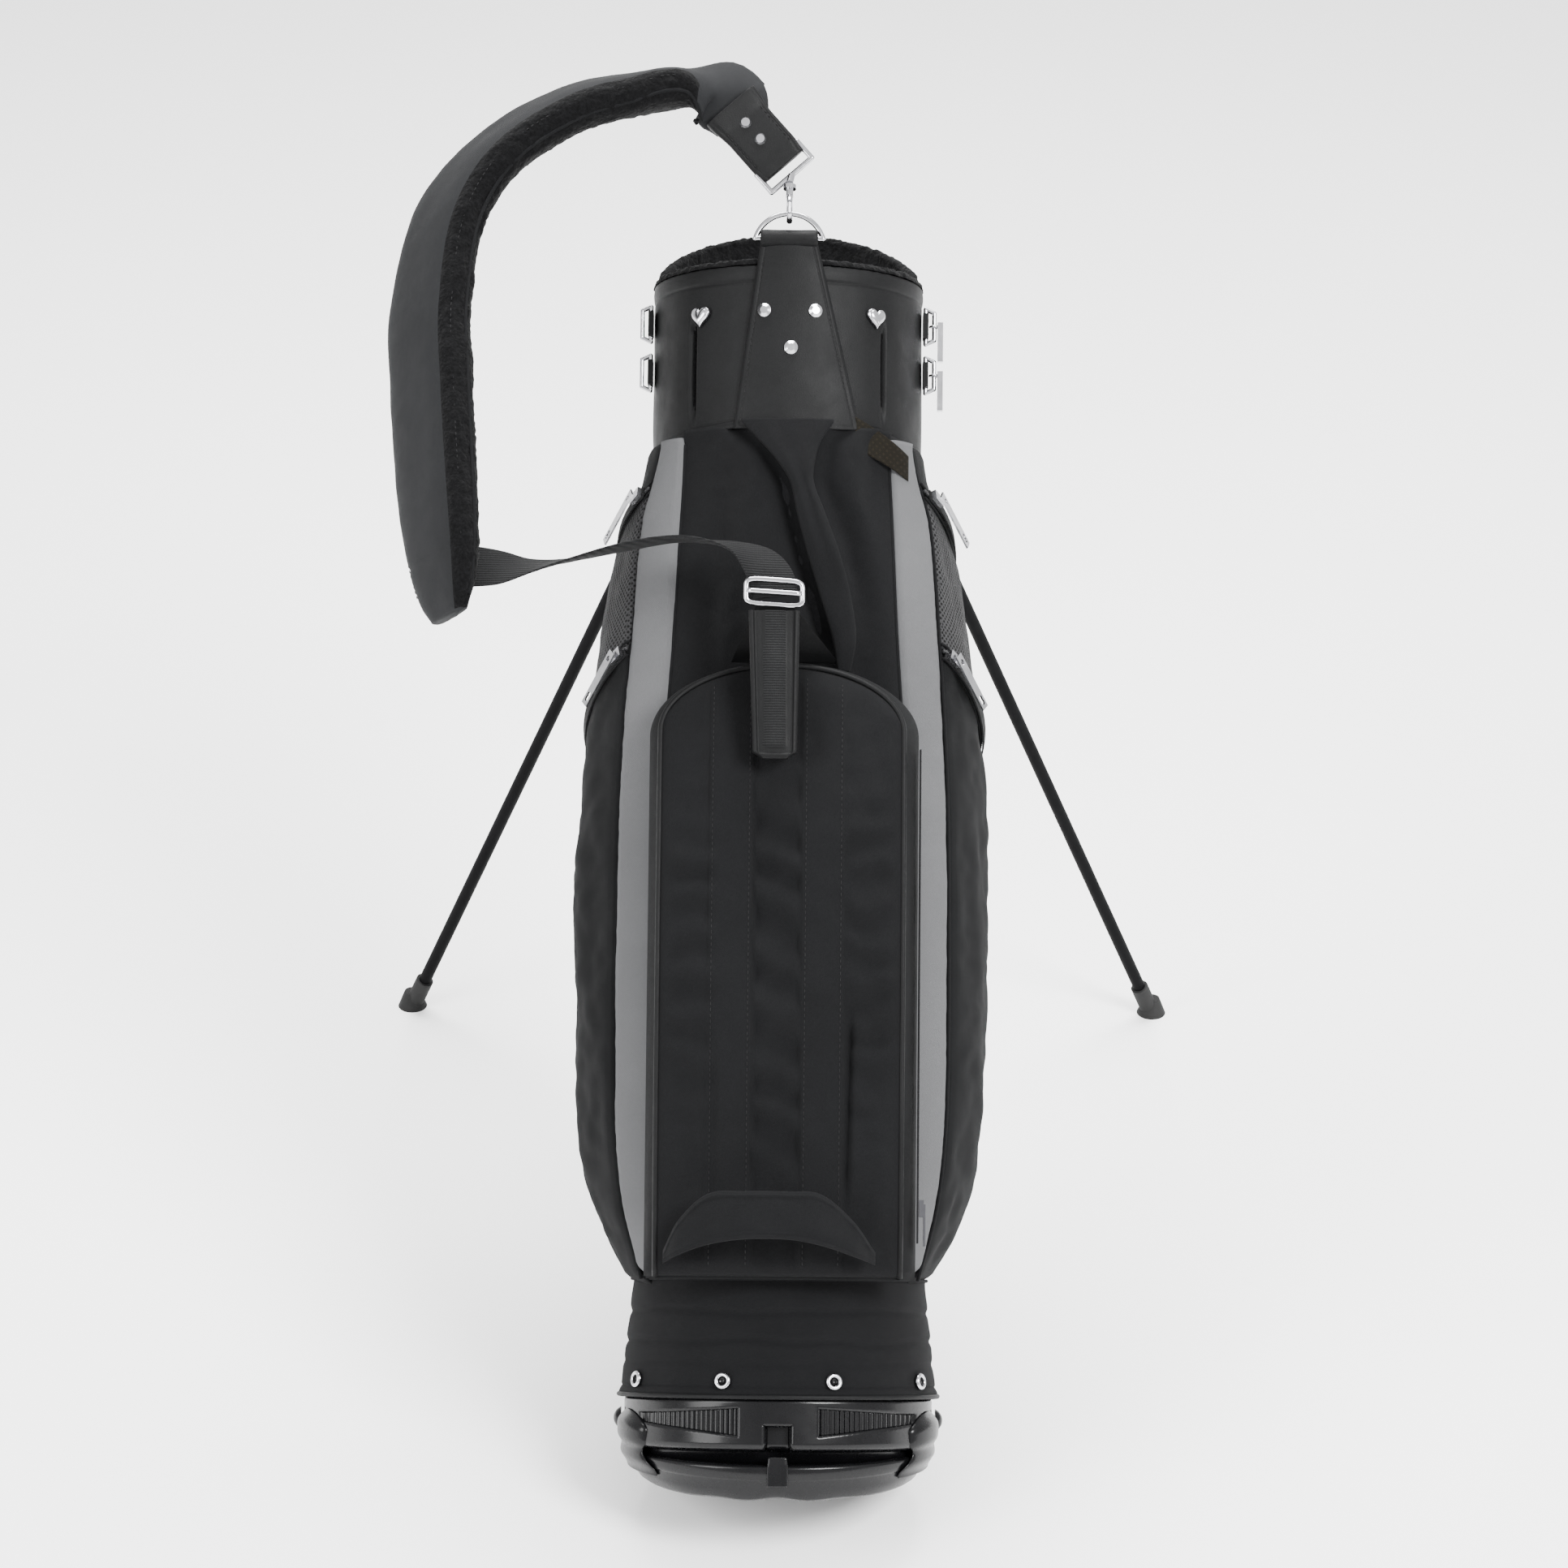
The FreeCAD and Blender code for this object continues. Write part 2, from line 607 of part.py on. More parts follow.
TAB_DIR = V(0.665, 0, -0.746).normalize()
TAB_SIDE = V(0.746, 0, 0.665).normalize()
RING_CENTRE = V(-4.0, strap_y(941.0), 941.0)


def strap_end_tab():
    near = RING_CENTRE - TAB_DIR * 8.0
    body = plate(near - TAB_DIR * 26.0, TAB_DIR, TAB_SIDE, 52, 38, 6)
    loop = rod(near - TAB_SIDE * 15, near + TAB_SIDE * 15, 4.6)
    bore = rod(near - TAB_SIDE * 30, near + TAB_SIDE * 30, 2.3)
    return body.fuse(loop).cut(bore)


def strap_end_rivets():
    rivets = []
    for back in (18.0, 34.0):
        at = RING_CENTRE - TAB_DIR * (8.0 + back) + V(0, -3.3, 0)
        rivets.append(Part.makeCone(4.2, 3.0, 1.8, at, V(0, -1, 0)))
    return Part.makeCompound(rivets)


def strap_end_ring():
    half_long, half_short = 19.0, 8.0
    corners = []
    for a, b in ((-1, -1), (1, -1), (1, 1), (-1, 1)):
        corners.append(RING_CENTRE + TAB_SIDE * (a * half_long) + TAB_DIR * (b * half_short))
    foot = SWIVEL + STRAP_AXIS * 4.2
    stem = rod(foot, RING_CENTRE + TAB_DIR * half_short, 2.6)
    return ring_pipe(corners, 2.0).fuse(stem)


def snap_hook():
    centre = V(0, SWIVEL.y - 1.5, HOOK_LOOP_Z)
    loop = Part.makeTorus(HOOK_LOOP_R, HOOK_WIRE_R, centre, V(1, 0, 0))
    opening = block(-10, 10, centre.y - 14, centre.y - 4.5, centre.z - 5.5, centre.z + 4.5)
    shank = rod(centre + V(0, 0, HOOK_LOOP_R), SWIVEL, 2.6)
    barrel = rod(SWIVEL - STRAP_AXIS * 1.0, SWIVEL + STRAP_AXIS * 2.0, 4.6)
    return loop.cut(opening).fuse([shank, barrel])


def snap_gate():
    centre = V(0, SWIVEL.y - 1.5, HOOK_LOOP_Z)
    low = centre + V(0, -7.6, -4.2)
    high = centre + V(0, -7.6, 3.2)
    return rod(low, high, 1.3)


def d_ring():
    left = V(-D_HALF, D_BAR.y, D_BAR.z)
    right = V(D_HALF, D_BAR.y, D_BAR.z)
    apex = V(0, D_BAR.y, D_APEX_Z)
    bow = Part.Wire([Part.Arc(left, apex, right).toShape()])
    start_dir = Part.Arc(left, apex, right).tangent(Part.Arc(left, apex, right).FirstParameter)[0]
    ring = bow.makePipeShell([Part.Wire([Part.Circle(left, start_dir, WIRE_R).toShape()])], True, False)
    bar = rod(left, right, WIRE_R)
    return ring.fuse([bar, Part.makeSphere(WIRE_R, left), Part.makeSphere(WIRE_R, right)])


GLIDE_CENTRE = BUCKLE + V(-8.0, 0, -6.0)
GLIDE_HALF = (22.0, 10.0)
GLIDE_WIRE_R = 2.1


def tri_glide():
    half_x, half_z = GLIDE_HALF
    corners = []
    for a, b in ((-1, -1), (1, -1), (1, 1), (-1, 1)):
        corners.append(GLIDE_CENTRE + V(a * half_x, 0, b * half_z))
    frame = ring_pipe(corners, GLIDE_WIRE_R)
    bar = rod(GLIDE_CENTRE - V(half_x, 0, 0), GLIDE_CENTRE + V(half_x, 0, 0), GLIDE_WIRE_R)
    return frame.fuse(bar)


def strap_tail_loop():
    top = BUCKLE.z - 18.8
    x, y = GLIDE_CENTRE.x, BUCKLE.y
    return Part.makeLoft([
        section(V(x, y - 3.0, top), V(1, 0, 0), V(0, 1, 0), 35, 7),
        section(V(x, y - 5.0, top - 60), V(1, 0, 0), V(0, 1, 0), 34, 11),
        section(V(x, y - 5.0, top - 103), V(1, 0, 0), V(0, 1, 0), 31, 9)], True, True)


def strap_anchor():
    top_z, low_z = BUCKLE.z - 13.0, 583.0
    corners = [V(-20, BUCKLE.y + 3.2, top_z), V(4, BUCKLE.y + 3.2, top_z),
               V(38, -105.5, low_z), V(-38, -105.5, low_z)]
    return Part.Face(Part.makePolygon(corners + corners[:1])).extrude(V(0, 2.4, 0.0))


# ---- handles, label -----------------------------------------------------------------


def upper_handle():
    # (x, depth, height, width) from the cuff down to the top of the ball pocket
    line = [(5, -104.0, 743, 60), (12, -108.0, 716, 20), (18, -110.0, 690, 15),
            (26, -110.0, 640, 19), (36, -106.5, 592, 24)]
    wires = [section(V(x, y, z), V(1, 0, 0), V(0, 1, 0), w, 3.4) for x, y, z, w in line]
    return Part.makeLoft(wires, True, True)


LOWER_HANDLE_LINE = [
    # (x, depth, height, strip height, strip thickness)
    (-76, -140.0, 172, 24, 5), (-56, -160.0, 184, 32, 7), (-28, -170.0, 192, 35, 8),
    (28, -170.0, 192, 35, 8), (56, -160.0, 184, 32, 7), (76, -140.0, 172, 24, 5)]


def lower_handle():
    wires = []
    for x, y, z, tall, thick in LOWER_HANDLE_LINE:
        wires.append(section(V(x, y, z), V(0, 0.25, 1), V(0, 1, -0.25), tall, thick))
    return Part.makeLoft(wires, True, True)


def woven_label():
    a = on_tube(33, TUBE_R + 5.0) + V(0, 0, 741)
    b = on_tube(55, TUBE_R + 9.5) + V(0, 0, 722)
    drop = V(0, 0, -17)
    corners = [a, b, b + drop, a + drop]
    return Part.Face(Part.makePolygon(corners + corners[:1])).extrude(V(0.5, -0.7, 0))


# ---- zips ---------------------------------------------------------------------------


def side_place(z, share, out):
    """Point off a side panel at a height: share 0 is its front edge, 1 its back edge."""
    front, wide, back = side_arc(side_level(z), 0.0)
    arc = Part.Arc(front, wide, back).toShape()
    at = arc.valueAt(arc.FirstParameter + share * (arc.LastParameter - arc.FirstParameter))
    return at + (at - arc.Curve.Center).normalize() * out


class ZipLine:
    """Zip laid on a side panel along a circle through three places."""

    def __init__(self, heights, shares, out):
        a, m, b = [side_place(z, s, out) for z, s in zip(heights, shares)]
        arc = Part.Arc(a, m, b).toShape()
        self.centre = arc.Curve.Center
        self.axis = V(arc.Curve.Axis)
        self.start = a
        self.sweep = math.degrees(arc.LastParameter - arc.FirstParameter)

    def at(self, turn):
        return self.centre + FreeCAD.Rotation(self.axis, turn).multVec(self.start - self.centre)

    def out(self, turn):
        return (self.at(turn) - self.centre).normalize()

    def along(self, turn):
        return self.axis.cross(self.out(turn)).normalize()

    def tape(self):
        first = section(self.start, self.axis, self.out(0), 9.0, 1.2)
        return Part.Face(first).revolve(self.centre, self.axis, self.sweep)

    def slider(self, turn):
        spot = self.at(turn) + self.out(turn) * 2.6
        return plate(spot, self.along(turn), self.axis, 12, 8, 3.2)

    def pull_top(self, turn):
        return self.at(turn) + self.out(turn) * 6.6

    def pull(self, turn):
        top = self.pull_top(turn)
        out = self.out(turn)
        down = lean_down()
        flat = (down - out * down.dot(out)).normalize()
        side = out.cross(flat)
        body = plate(top + flat * 20.0, flat, side, 44, 8.5, 1.4)
        holes = [rod(top + flat * s - out * 4, top + flat * s + out * 4, 2.2) for s in (4.0, 34.0, 37.0)]
        return body.cut(holes)


def lean_down():
    """Straight down, in the bag's own frame."""
    return FreeCAD.Rotation(V(1, 0, 0), LEAN).multVec(V(0, 0, -1))


UPPER_ZIP = ZipLine((713.0, 680.0, 645.0), (0.03, 0.38, 0.70), 3.6)
LOWER_ZIP = ZipLine((596.0, 549.0, 504.0), (0.02, 0.34, 0.68), 4.4)
UPPER_START, LOWER_START = 3.0, 3.0
POCKET_ZIP_Y = -122.0
POCKET_ZIP_LOW, POCKET_ZIP_HIGH = 176.0, 520.0
POCKET_SLIDER_Z = 200.0


def pocket_side_x(y):
    share = (POCKET_BACK_Y - y) / (POCKET_BACK_Y - POCKET_FRONT_Y + 2)
    return POCKET_BACK_HALF + share * (POCKET_FRONT_HALF - POCKET_BACK_HALF)


def zipper_tapes():
    x = pocket_side_x(POCKET_ZIP_Y + 4) + 0.4
    pocket_tape = block(x, x + 1.2, POCKET_ZIP_Y - 4, POCKET_ZIP_Y + 4, POCKET_ZIP_LOW, POCKET_ZIP_HIGH)
    return Part.makeCompound([both_sides(UPPER_ZIP.tape()), both_sides(LOWER_ZIP.tape()), pocket_tape])


def pocket_slider():
    """Slider with its short pull, which hangs beside it."""
    x, z = pocket_side_x(POCKET_ZIP_Y + 4) + 2.0, POCKET_SLIDER_Z
    body = block(x, x + 3.2, POCKET_ZIP_Y - 3.6, POCKET_ZIP_Y + 3.6, z - 6, z + 6)
    pull = block(x + 3.0, x + 4.4, POCKET_ZIP_Y - 3.6, POCKET_ZIP_Y + 3.6, z - 26, z + 3)
    hole = rod(V(x, POCKET_ZIP_Y, z - 20), V(x + 8, POCKET_ZIP_Y, z - 20), 2.0)
    return body.fuse(pull).cut(hole)


# ---- legs and their drive -----------------------------------------------------------


def leg_bracket():
    plate_solid = block(-96, 96, 98.6, 104, 772, 812)
    pieces = []
    inward = LEG_AXIS.cross(V(0, 0, -1))
    reach = (LEG_PIVOT.y - 101) / -inward.y
    for s in (-1, 1):
        for where in (-1, 1):
            centre = LEG_PIVOT + LEG_AXIS * (where * (LEG_HEAD_LENGTH / 2 + 0.3 + EAR_THICK / 2))
            start = centre - LEG_AXIS * (EAR_THICK / 2)
            disc = rod(start, start + LEG_AXIS * EAR_THICK, 8.5)
            foot = start + inward * (reach + (start.y - LEG_PIVOT.y) / -inward.y)
            rise = V(0, 0, 8.5)
            corners = [start - rise, start + rise, foot + rise, foot - rise]
            arm = Part.Face(Part.makePolygon(corners + corners[:1])).extrude(LEG_AXIS * EAR_THICK)
            ear = disc.fuse(arm)
            pieces.append(ear if s > 0 else mirrored(ear))
    bore = rod(LEG_PIVOT - LEG_AXIS * 20, LEG_PIVOT + LEG_AXIS * 20, PIN_R)
    return plate_solid.fuse(pieces).cut([bore, mirrored(bore)])


def leg_pivot_pins():
    reach = LEG_HEAD_LENGTH / 2 + 0.3 + EAR_THICK + 1.0
    return both_sides(rod(LEG_PIVOT - LEG_AXIS * reach, LEG_PIVOT + LEG_AXIS * reach, PIN_R))


def right_leg_head():
    barrel = rod(LEG_PIVOT - LEG_AXIS * (LEG_HEAD_LENGTH / 2), LEG_PIVOT + LEG_AXIS * (LEG_HEAD_LENGTH / 2),
                 LEG_HEAD_R)
    socket = rod(LEG_PIVOT, LEG_PIVOT + LEG_DIR * 42, 6.8)
    bore = rod(LEG_PIVOT - LEG_AXIS * 20, LEG_PIVOT + LEG_AXIS * 20, PIN_R + PIN_CLEARANCE)
    hole = rod(LEG_PIVOT + LEG_DIR * 12, LEG_PIVOT + LEG_DIR * 60, LEG_TUBE_R)
    return barrel.fuse(socket).cut([bore, hole])


def ground_normal():
    """Straight up, in the bag's own frame."""
    return lean_down() * -1


def right_leg_tube():
    length = (LEG_FOOT - LEG_PIVOT).Length
    start = LEG_PIVOT + LEG_DIR * 12
    end = LEG_PIVOT + LEG_DIR * (length - 14)
    return rod(start, end, LEG_TUBE_R).cut(rod(start - LEG_DIR, end + LEG_DIR, LEG_TUBE_R - 1.0))


def right_leg_foot():
    up = ground_normal()
    length = (LEG_FOOT - LEG_PIVOT).Length
    collar_start = LEG_PIVOT + LEG_DIR * (length - 32)
    collar_end = LEG_PIVOT + LEG_DIR * (length - 4)
    collar = rod(collar_start, collar_end, 7.2)
    flare = Part.makeCone(FOOT_R, 6.5, 14, LEG_FOOT, up)
    hole = rod(LEG_PIVOT + LEG_DIR * (length - 60), LEG_PIVOT + LEG_DIR * (length - 14), LEG_TUBE_R)
    below = Part.makeCylinder(60, 30, LEG_FOOT - up * 30, up)
    return collar.fuse(flare).cut([hole, below])


def push_rod():
    knee = V(0, ROD_Y, ROD_FOOT_Z)
    foot = rod(V(0, ROD_FOOT_END_Y, ROD_FOOT_Z), knee, ROD_R)
    shaft = rod(knee, V(0, ROD_Y, ROD_TOP_Z - 2), ROD_R)
    head = block(-62, 62, ROD_Y - 2.5, ROD_Y + 2.5, ROD_TOP_Z - 8, ROD_TOP_Z)
    return foot.fuse([Part.makeSphere(ROD_R, knee), shaft, head])


def rod_guides():
    guides = []
    for z in (230.0, 560.0):
        body = block(-8, 8, 103.0, 112.0, z, z + 18)
        bore = rod(V(0, ROD_Y, z - 1), V(0, ROD_Y, z + 30), ROD_R + PIN_CLEARANCE * 2)
        guides.append(body.cut(bore))
    return Part.makeCompound(guides)


# ---- all pieces ---------------------------------------------------------------------


def mirror_of(make):
    return lambda: mirrored(make())


NODES = {
    "base_cup": base_cup,
    "foot_tray": foot_tray,
    "tray_hinge_pins": tray_hinge_pins,
    "base_nubs": base_nubs,
    "base_cuff": base_cuff,
    "base_cuff_snaps": base_cuff_snaps,
    "body_lining": body_lining,
    "stay_rods": stay_rods,
    "front_panel": front_panel,
    "back_panel": back_panel,
    "stripes": stripes,
    "side_pockets": side_pockets,
    "mesh_pockets": mesh_pockets,
    "shoulder_panels": shoulder_panels,
    "ball_pocket": ball_pocket,
    "cuff_shell": cuff_shell,
    "cuff_fur_lining": cuff_fur_lining,
    "top_ring": top_ring,
    "divider_bars": divider_bars,
    "front_tab": front_tab,
    "tab_rivets": tab_rivets,
    "heart_studs": heart_studs,
    "side_ring_tabs": side_ring_tabs,
    "side_rings": side_rings,
    "upper_clasp": lambda: clasp_at(SIDE_TAB_HEIGHTS[0]),
    "lower_clasp": lambda: clasp_at(SIDE_TAB_HEIGHTS[1]),
    "shoulder_pad": shoulder_pad,
    "strap_webbing": strap_webbing,
    "strap_end_tab": strap_end_tab,
    "strap_end_rivets": strap_end_rivets,
    "strap_end_ring": strap_end_ring,
    "snap_hook": snap_hook,
    "snap_gate": snap_gate,
    "d_ring": d_ring,
    "tri_glide": tri_glide,
    "strap_tail_loop": strap_tail_loop,
    "strap_anchor": strap_anchor,
    "upper_handle": upper_handle,
    "lower_handle": lower_handle,
    "woven_label": woven_label,
    "zipper_tapes": zipper_tapes,
    "right_upper_slider": lambda: UPPER_ZIP.slider(UPPER_START),
    "right_upper_pull": lambda: UPPER_ZIP.pull(UPPER_START),
    "left_upper_slider": lambda: mirrored(UPPER_ZIP.slider(UPPER_START)),
    "left_upper_pull": lambda: mirrored(UPPER_ZIP.pull(UPPER_START)),
    "right_lower_slider": lambda: LOWER_ZIP.slider(LOWER_START),
    "right_lower_pull": lambda: LOWER_ZIP.pull(LOWER_START),
    "left_lower_slider": lambda: mirrored(LOWER_ZIP.slider(LOWER_START)),
    "left_lower_pull": lambda: mirrored(LOWER_ZIP.pull(LOWER_START)),
    "pocket_slider": pocket_slider,
    "leg_bracket": leg_bracket,
    "leg_pivot_pins": leg_pivot_pins,
    "right_leg_head": right_leg_head,
    "left_leg_head": mirror_of(right_leg_head),
    "right_leg_tube": right_leg_tube,
    "left_leg_tube": mirror_of(right_leg_tube),
    "right_leg_foot": right_leg_foot,
    "left_leg_foot": mirror_of(right_leg_foot),
    "push_rod": push_rod,
    "rod_guides": rod_guides,
}


def lean(shape):
    leaned = shape.copy()
    leaned.translate(HEEL_CENTRE * -1)
    leaned.rotate(V(0, 0, 0), V(1, 0, 0), -LEAN)
    return leaned


def main():
    os.makedirs("parts", exist_ok=True)
    for name, make in NODES.items():
        shape = lean(make())
        if not shape.isValid():
            print("not valid:", name)
        shape.exportStep("parts/" + name + ".step")


main()
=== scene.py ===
import bmesh
import bpy
import json
import math
import numpy as np
from mathutils import Matrix, Vector, noise


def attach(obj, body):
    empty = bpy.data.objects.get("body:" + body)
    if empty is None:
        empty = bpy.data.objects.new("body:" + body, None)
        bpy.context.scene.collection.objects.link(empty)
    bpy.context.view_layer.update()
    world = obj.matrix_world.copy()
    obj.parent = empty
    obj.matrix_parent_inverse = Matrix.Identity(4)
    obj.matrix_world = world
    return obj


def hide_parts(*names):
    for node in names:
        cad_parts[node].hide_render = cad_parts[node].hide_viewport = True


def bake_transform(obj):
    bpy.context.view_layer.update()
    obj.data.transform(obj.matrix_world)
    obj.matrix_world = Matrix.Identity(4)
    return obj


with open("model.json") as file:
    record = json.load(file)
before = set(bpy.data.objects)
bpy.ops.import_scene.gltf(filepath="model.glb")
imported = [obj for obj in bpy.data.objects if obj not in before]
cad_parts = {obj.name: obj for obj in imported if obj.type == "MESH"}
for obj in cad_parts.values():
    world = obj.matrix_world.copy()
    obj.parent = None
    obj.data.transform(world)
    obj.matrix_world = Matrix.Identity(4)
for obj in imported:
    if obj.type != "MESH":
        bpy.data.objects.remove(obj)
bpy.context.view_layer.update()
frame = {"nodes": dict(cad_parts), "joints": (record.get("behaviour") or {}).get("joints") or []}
NODES = frame["nodes"]
JOINTS = {j["name"]: j for j in frame["joints"]}

# Shapes are drawn in the bag's own frame, in millimetres: x right, y back, z up along the
# bag. BAG leans them back into the row frame, in metres.
LEAN = math.radians(35.0)
TRAY_PIVOT = Vector((0.0, 0.0, 52.0))
TRAY_OPEN = math.radians(9.5)
BAG = (Matrix.Translation(JOINTS["foot_tray_tilt"]["pos_m"]) @ Matrix.Rotation(-LEAN, 4, "X")
       @ Matrix.Scale(0.001, 4) @ Matrix.Translation(-TRAY_PIVOT))
TO_BAG_ROTATION = (LEAN, 0.0, 0.0)

TUBE_R = 98.6
CUFF_R = 98.0
CUP_HALF_X, CUP_HALF_Y = 108.0, 98.0
EYELET_HALF_X, EYELET_HALF_Y, EYELET_Z, EYELET_SIDES = 113.2, 102.4, 80.0, 32
BASE_CUFF_BOTTOM, BASE_CUFF_TOP = 70.0, 151.5
FRONT_BOTTOM, FRONT_TOP = 150.0, 754.0
LINING_BOTTOM = 68.5
GATHER_BOTTOM, GATHER_TOP = 577.0, 758.0
TAIL_TOP, TAIL_LENGTH = 613.0, 104.0
FLEECE_FROM, FLEECE_TO = 4.0, 231.0
BODY_BOTTOM, BODY_TOP = 150.5, 744.0
# height, outer half width, stripe front corner x and y, stripe back corner x and y
SIDE_LEVELS = np.array([
    (BODY_BOTTOM, 107.0, 77.0, -72.0, 99.0, -52.0),
    (204.0, 133.5, 84.0, -84.0, 112.0, -64.0),
    (274.0, 146.0, 88.0, -90.0, 118.0, -70.0),
    (420.0, 149.0, 88.0, -90.0, 118.5, -70.0),
    (510.0, 144.5, 86.0, -88.0, 116.5, -68.0),
    (605.0, 134.0, 80.0, -82.0, 111.0, -62.0),
    (690.0, 118.0, 76.0, -74.0, 104.0, -54.0),
    (722.0, 105.0, 74.5, -71.5, 95.5, -50.0),
    (BODY_TOP, 100.5, 74.0, -70.0, 91.0, -48.0)])
SWIVEL = np.array([0.0, -98.5, 925.0])
BUCKLE = np.array([0.0, -150.0, 632.0])
DEPTH = Vector((0, 1, 0))
STRAP_AXIS = (SWIVEL - BUCKLE) / np.linalg.norm(SWIVEL - BUCKLE)


# ---- meshes -------------------------------------------------------------------------


def wobble(point, size, seed=0.0):
    """Smooth noise from -1 to 1, with bumps about size across."""
    return noise.noise(Vector((point[0] / size + seed, point[1] / size - seed, point[2] / size)))


def smooth_step(low, high, value):
    t = min(max((value - low) / (high - low), 0.0), 1.0)
    return t * t * (3 - 2 * t)


def falls(low, high, value):
    """1 below low and 0 above high, smoothly."""
    return 1.0 - smooth_step(low, high, value)


def bell(offset, width, power=2):
    """1 in the middle of a soft ridge, and near 0 beyond its width."""
    return math.exp(-(offset / width) ** power)


def boxy(value, power):
    """Share of a half size at a cosine or sine, for a section with rounded corners."""
    return math.copysign(abs(value) ** power, value)


def way_round(v):
    a = 2 * math.pi * v
    return math.cos(a), math.sin(a)


def curve_value(xs, ys, x):
    """Smooth line through listed values (Catmull-Rom on an uneven list)."""
    x = min(max(x, xs[0]), xs[-1])
    i = int(min(np.searchsorted(xs, x, side="right") - 1, len(xs) - 2))
    span = xs[i + 1] - xs[i]
    t = (x - xs[i]) / span

    def slope(k):
        if k == 0 or k == len(xs) - 1:
            return (ys[i + 1] - ys[i]) / span
        return (ys[k + 1] - ys[k - 1]) / (xs[k + 1] - xs[k - 1])

    a, b = ys[i], ys[i + 1]
    return ((2 * t ** 3 - 3 * t ** 2 + 1) * a + (t ** 3 - 2 * t ** 2 + t) * span * slope(i)
            + (-2 * t ** 3 + 3 * t ** 2) * b + (t ** 3 - t ** 2) * span * slope(i + 1))


def new_object(name, verts, faces, in_bag=True):
    mesh = bpy.data.meshes.new(name)
    mesh.from_pydata([tuple(v) for v in verts], [], faces)
    mesh.update()
    if in_bag:
        mesh.transform(BAG)
    for polygon in mesh.polygons:
        polygon.use_smooth = True
    obj = bpy.data.objects.new(name, mesh)
    bpy.context.scene.collection.objects.link(obj)
    return obj


def grid_faces(rows, cols, closed_rows=False, closed_cols=False):
    faces = []
    for i in range(rows if closed_rows else rows - 1):
        for j in range(cols if closed_cols else cols - 1):
            a, b = i % rows, (i + 1) % rows
            c, d = j % cols, (j + 1) % cols
            faces.append((a * cols + c, a * cols + d, b * cols + d, b * cols + c))
    return faces


def sheet_piece(name, fn, rows, cols, thick=1.5, closed_cols=False, turned=True):
    """Curved sheet: fn(u, v) gives a bag-frame point, and the sheet gets a thickness."""
    last = cols if closed_cols else cols - 1
    verts = [fn(i / (rows - 1), j / last) for i in range(rows) for j in range(cols)]
    obj = new_object(name, verts, grid_faces(rows, cols, False, closed_cols))
    solid = obj.modifiers.new("thickness", "SOLIDIFY")
    solid.thickness = thick * 0.001
    solid.offset = -1.0
    settle(obj)
    if turned:
        turn_out(obj)
    return obj


def loop_piece(name, fn, rows, cols, caps=True):
    """Closed tube: fn(u, v) with v going once round; the ends are capped."""
    verts = [fn(i / (rows - 1), j / cols) for i in range(rows) for j in range(cols)]
    faces = grid_faces(rows, cols, False, True)
    if caps:
        faces.append(tuple(range(cols - 1, -1, -1)))
        faces.append(tuple((rows - 1) * cols + j for j in range(cols)))
    obj = new_object(name, verts, faces)
    turn_out(obj)
    return obj


def turn_out(obj):
    """Makes all faces look outwards."""
    work = bmesh.new()
    work.from_mesh(obj.data)
    bmesh.ops.recalc_face_normals(work, faces=work.faces)
    work.to_mesh(obj.data)
    work.free()


def settle(obj):
    """Applies an object's modifiers to its mesh."""
    graph = bpy.context.evaluated_depsgraph_get()
    mesh = bpy.data.meshes.new_from_object(obj.evaluated_get(graph))
    obj.modifiers.clear()
    obj.data = mesh
    for polygon in mesh.polygons:
        polygon.use_smooth = True


def pipe_piece(name, points, radius, sides=10, closed=False):
    """Round cord or piping along bag-frame points."""
    pts = [Vector(p) for p in points]
    count = len(pts)
    rings = []
    side = None
    for i, p in enumerate(pts):
        before = pts[i - 1] if i or closed else p
        after = pts[(i + 1) % count] if i < count - 1 or closed else p
        tangent = (after - before).normalized()
        if side is None:
            side = tangent.orthogonal().normalized()
        side = (side - tangent * side.dot(tangent)).normalized()
        up = tangent.cross(side)
        for k in range(sides):
            a = 2 * math.pi * k / sides
            rings.append(p + (side * math.cos(a) + up * math.sin(a)) * radius)
    faces = grid_faces(count, sides, closed, True)
    if not closed:
        faces.append(tuple(range(sides - 1, -1, -1)))
        faces.append(tuple((count - 1) * sides + k for k in range(sides)))
    obj = new_object(name, rings, faces)
    turn_out(obj)
    return obj


def stitch_piece(name, points, length=2.6, gap=1.6, radius=0.35):
    """Row of short raised stitches along bag-frame points."""
    pts = [Vector(p) for p in points]
    verts, faces = [], []
    travelled, wanted = 0.0, 0.0
    for a, b in zip(pts, pts[1:]):
        span = (b - a).length
        if span < 1e-6:
            continue
        direction = (b - a) / span
        side = direction.orthogonal().normalized()
        up = direction.cross(side)
        while wanted < travelled + span:
            start = a + direction * (wanted - travelled)
            base = len(verts)
            for along, size in ((0.0, 0.3), (0.25, 1.0), (0.75, 1.0), (1.0, 0.3)):
                for k in range(6):
                    t = 2 * math.pi * k / 6
                    offset = (side * math.cos(t) + up * math.sin(t)) * radius * size
                    verts.append(start + direction * length * along + offset)
            for ring in range(3):
                for k in range(6):
                    n = (k + 1) % 6
                    faces.append((base + ring * 6 + k, base + ring * 6 + n,
                                  base + ring * 6 + 6 + n, base + ring * 6 + 6 + k))
            faces.append(tuple(base + k for k in range(5, -1, -1)))
            faces.append(tuple(base + 18 + k for k in range(6)))
            wanted += length + gap
        travelled += span
    return new_object(name, verts, faces)


# ---- materials ----------------------------------------------------------------------


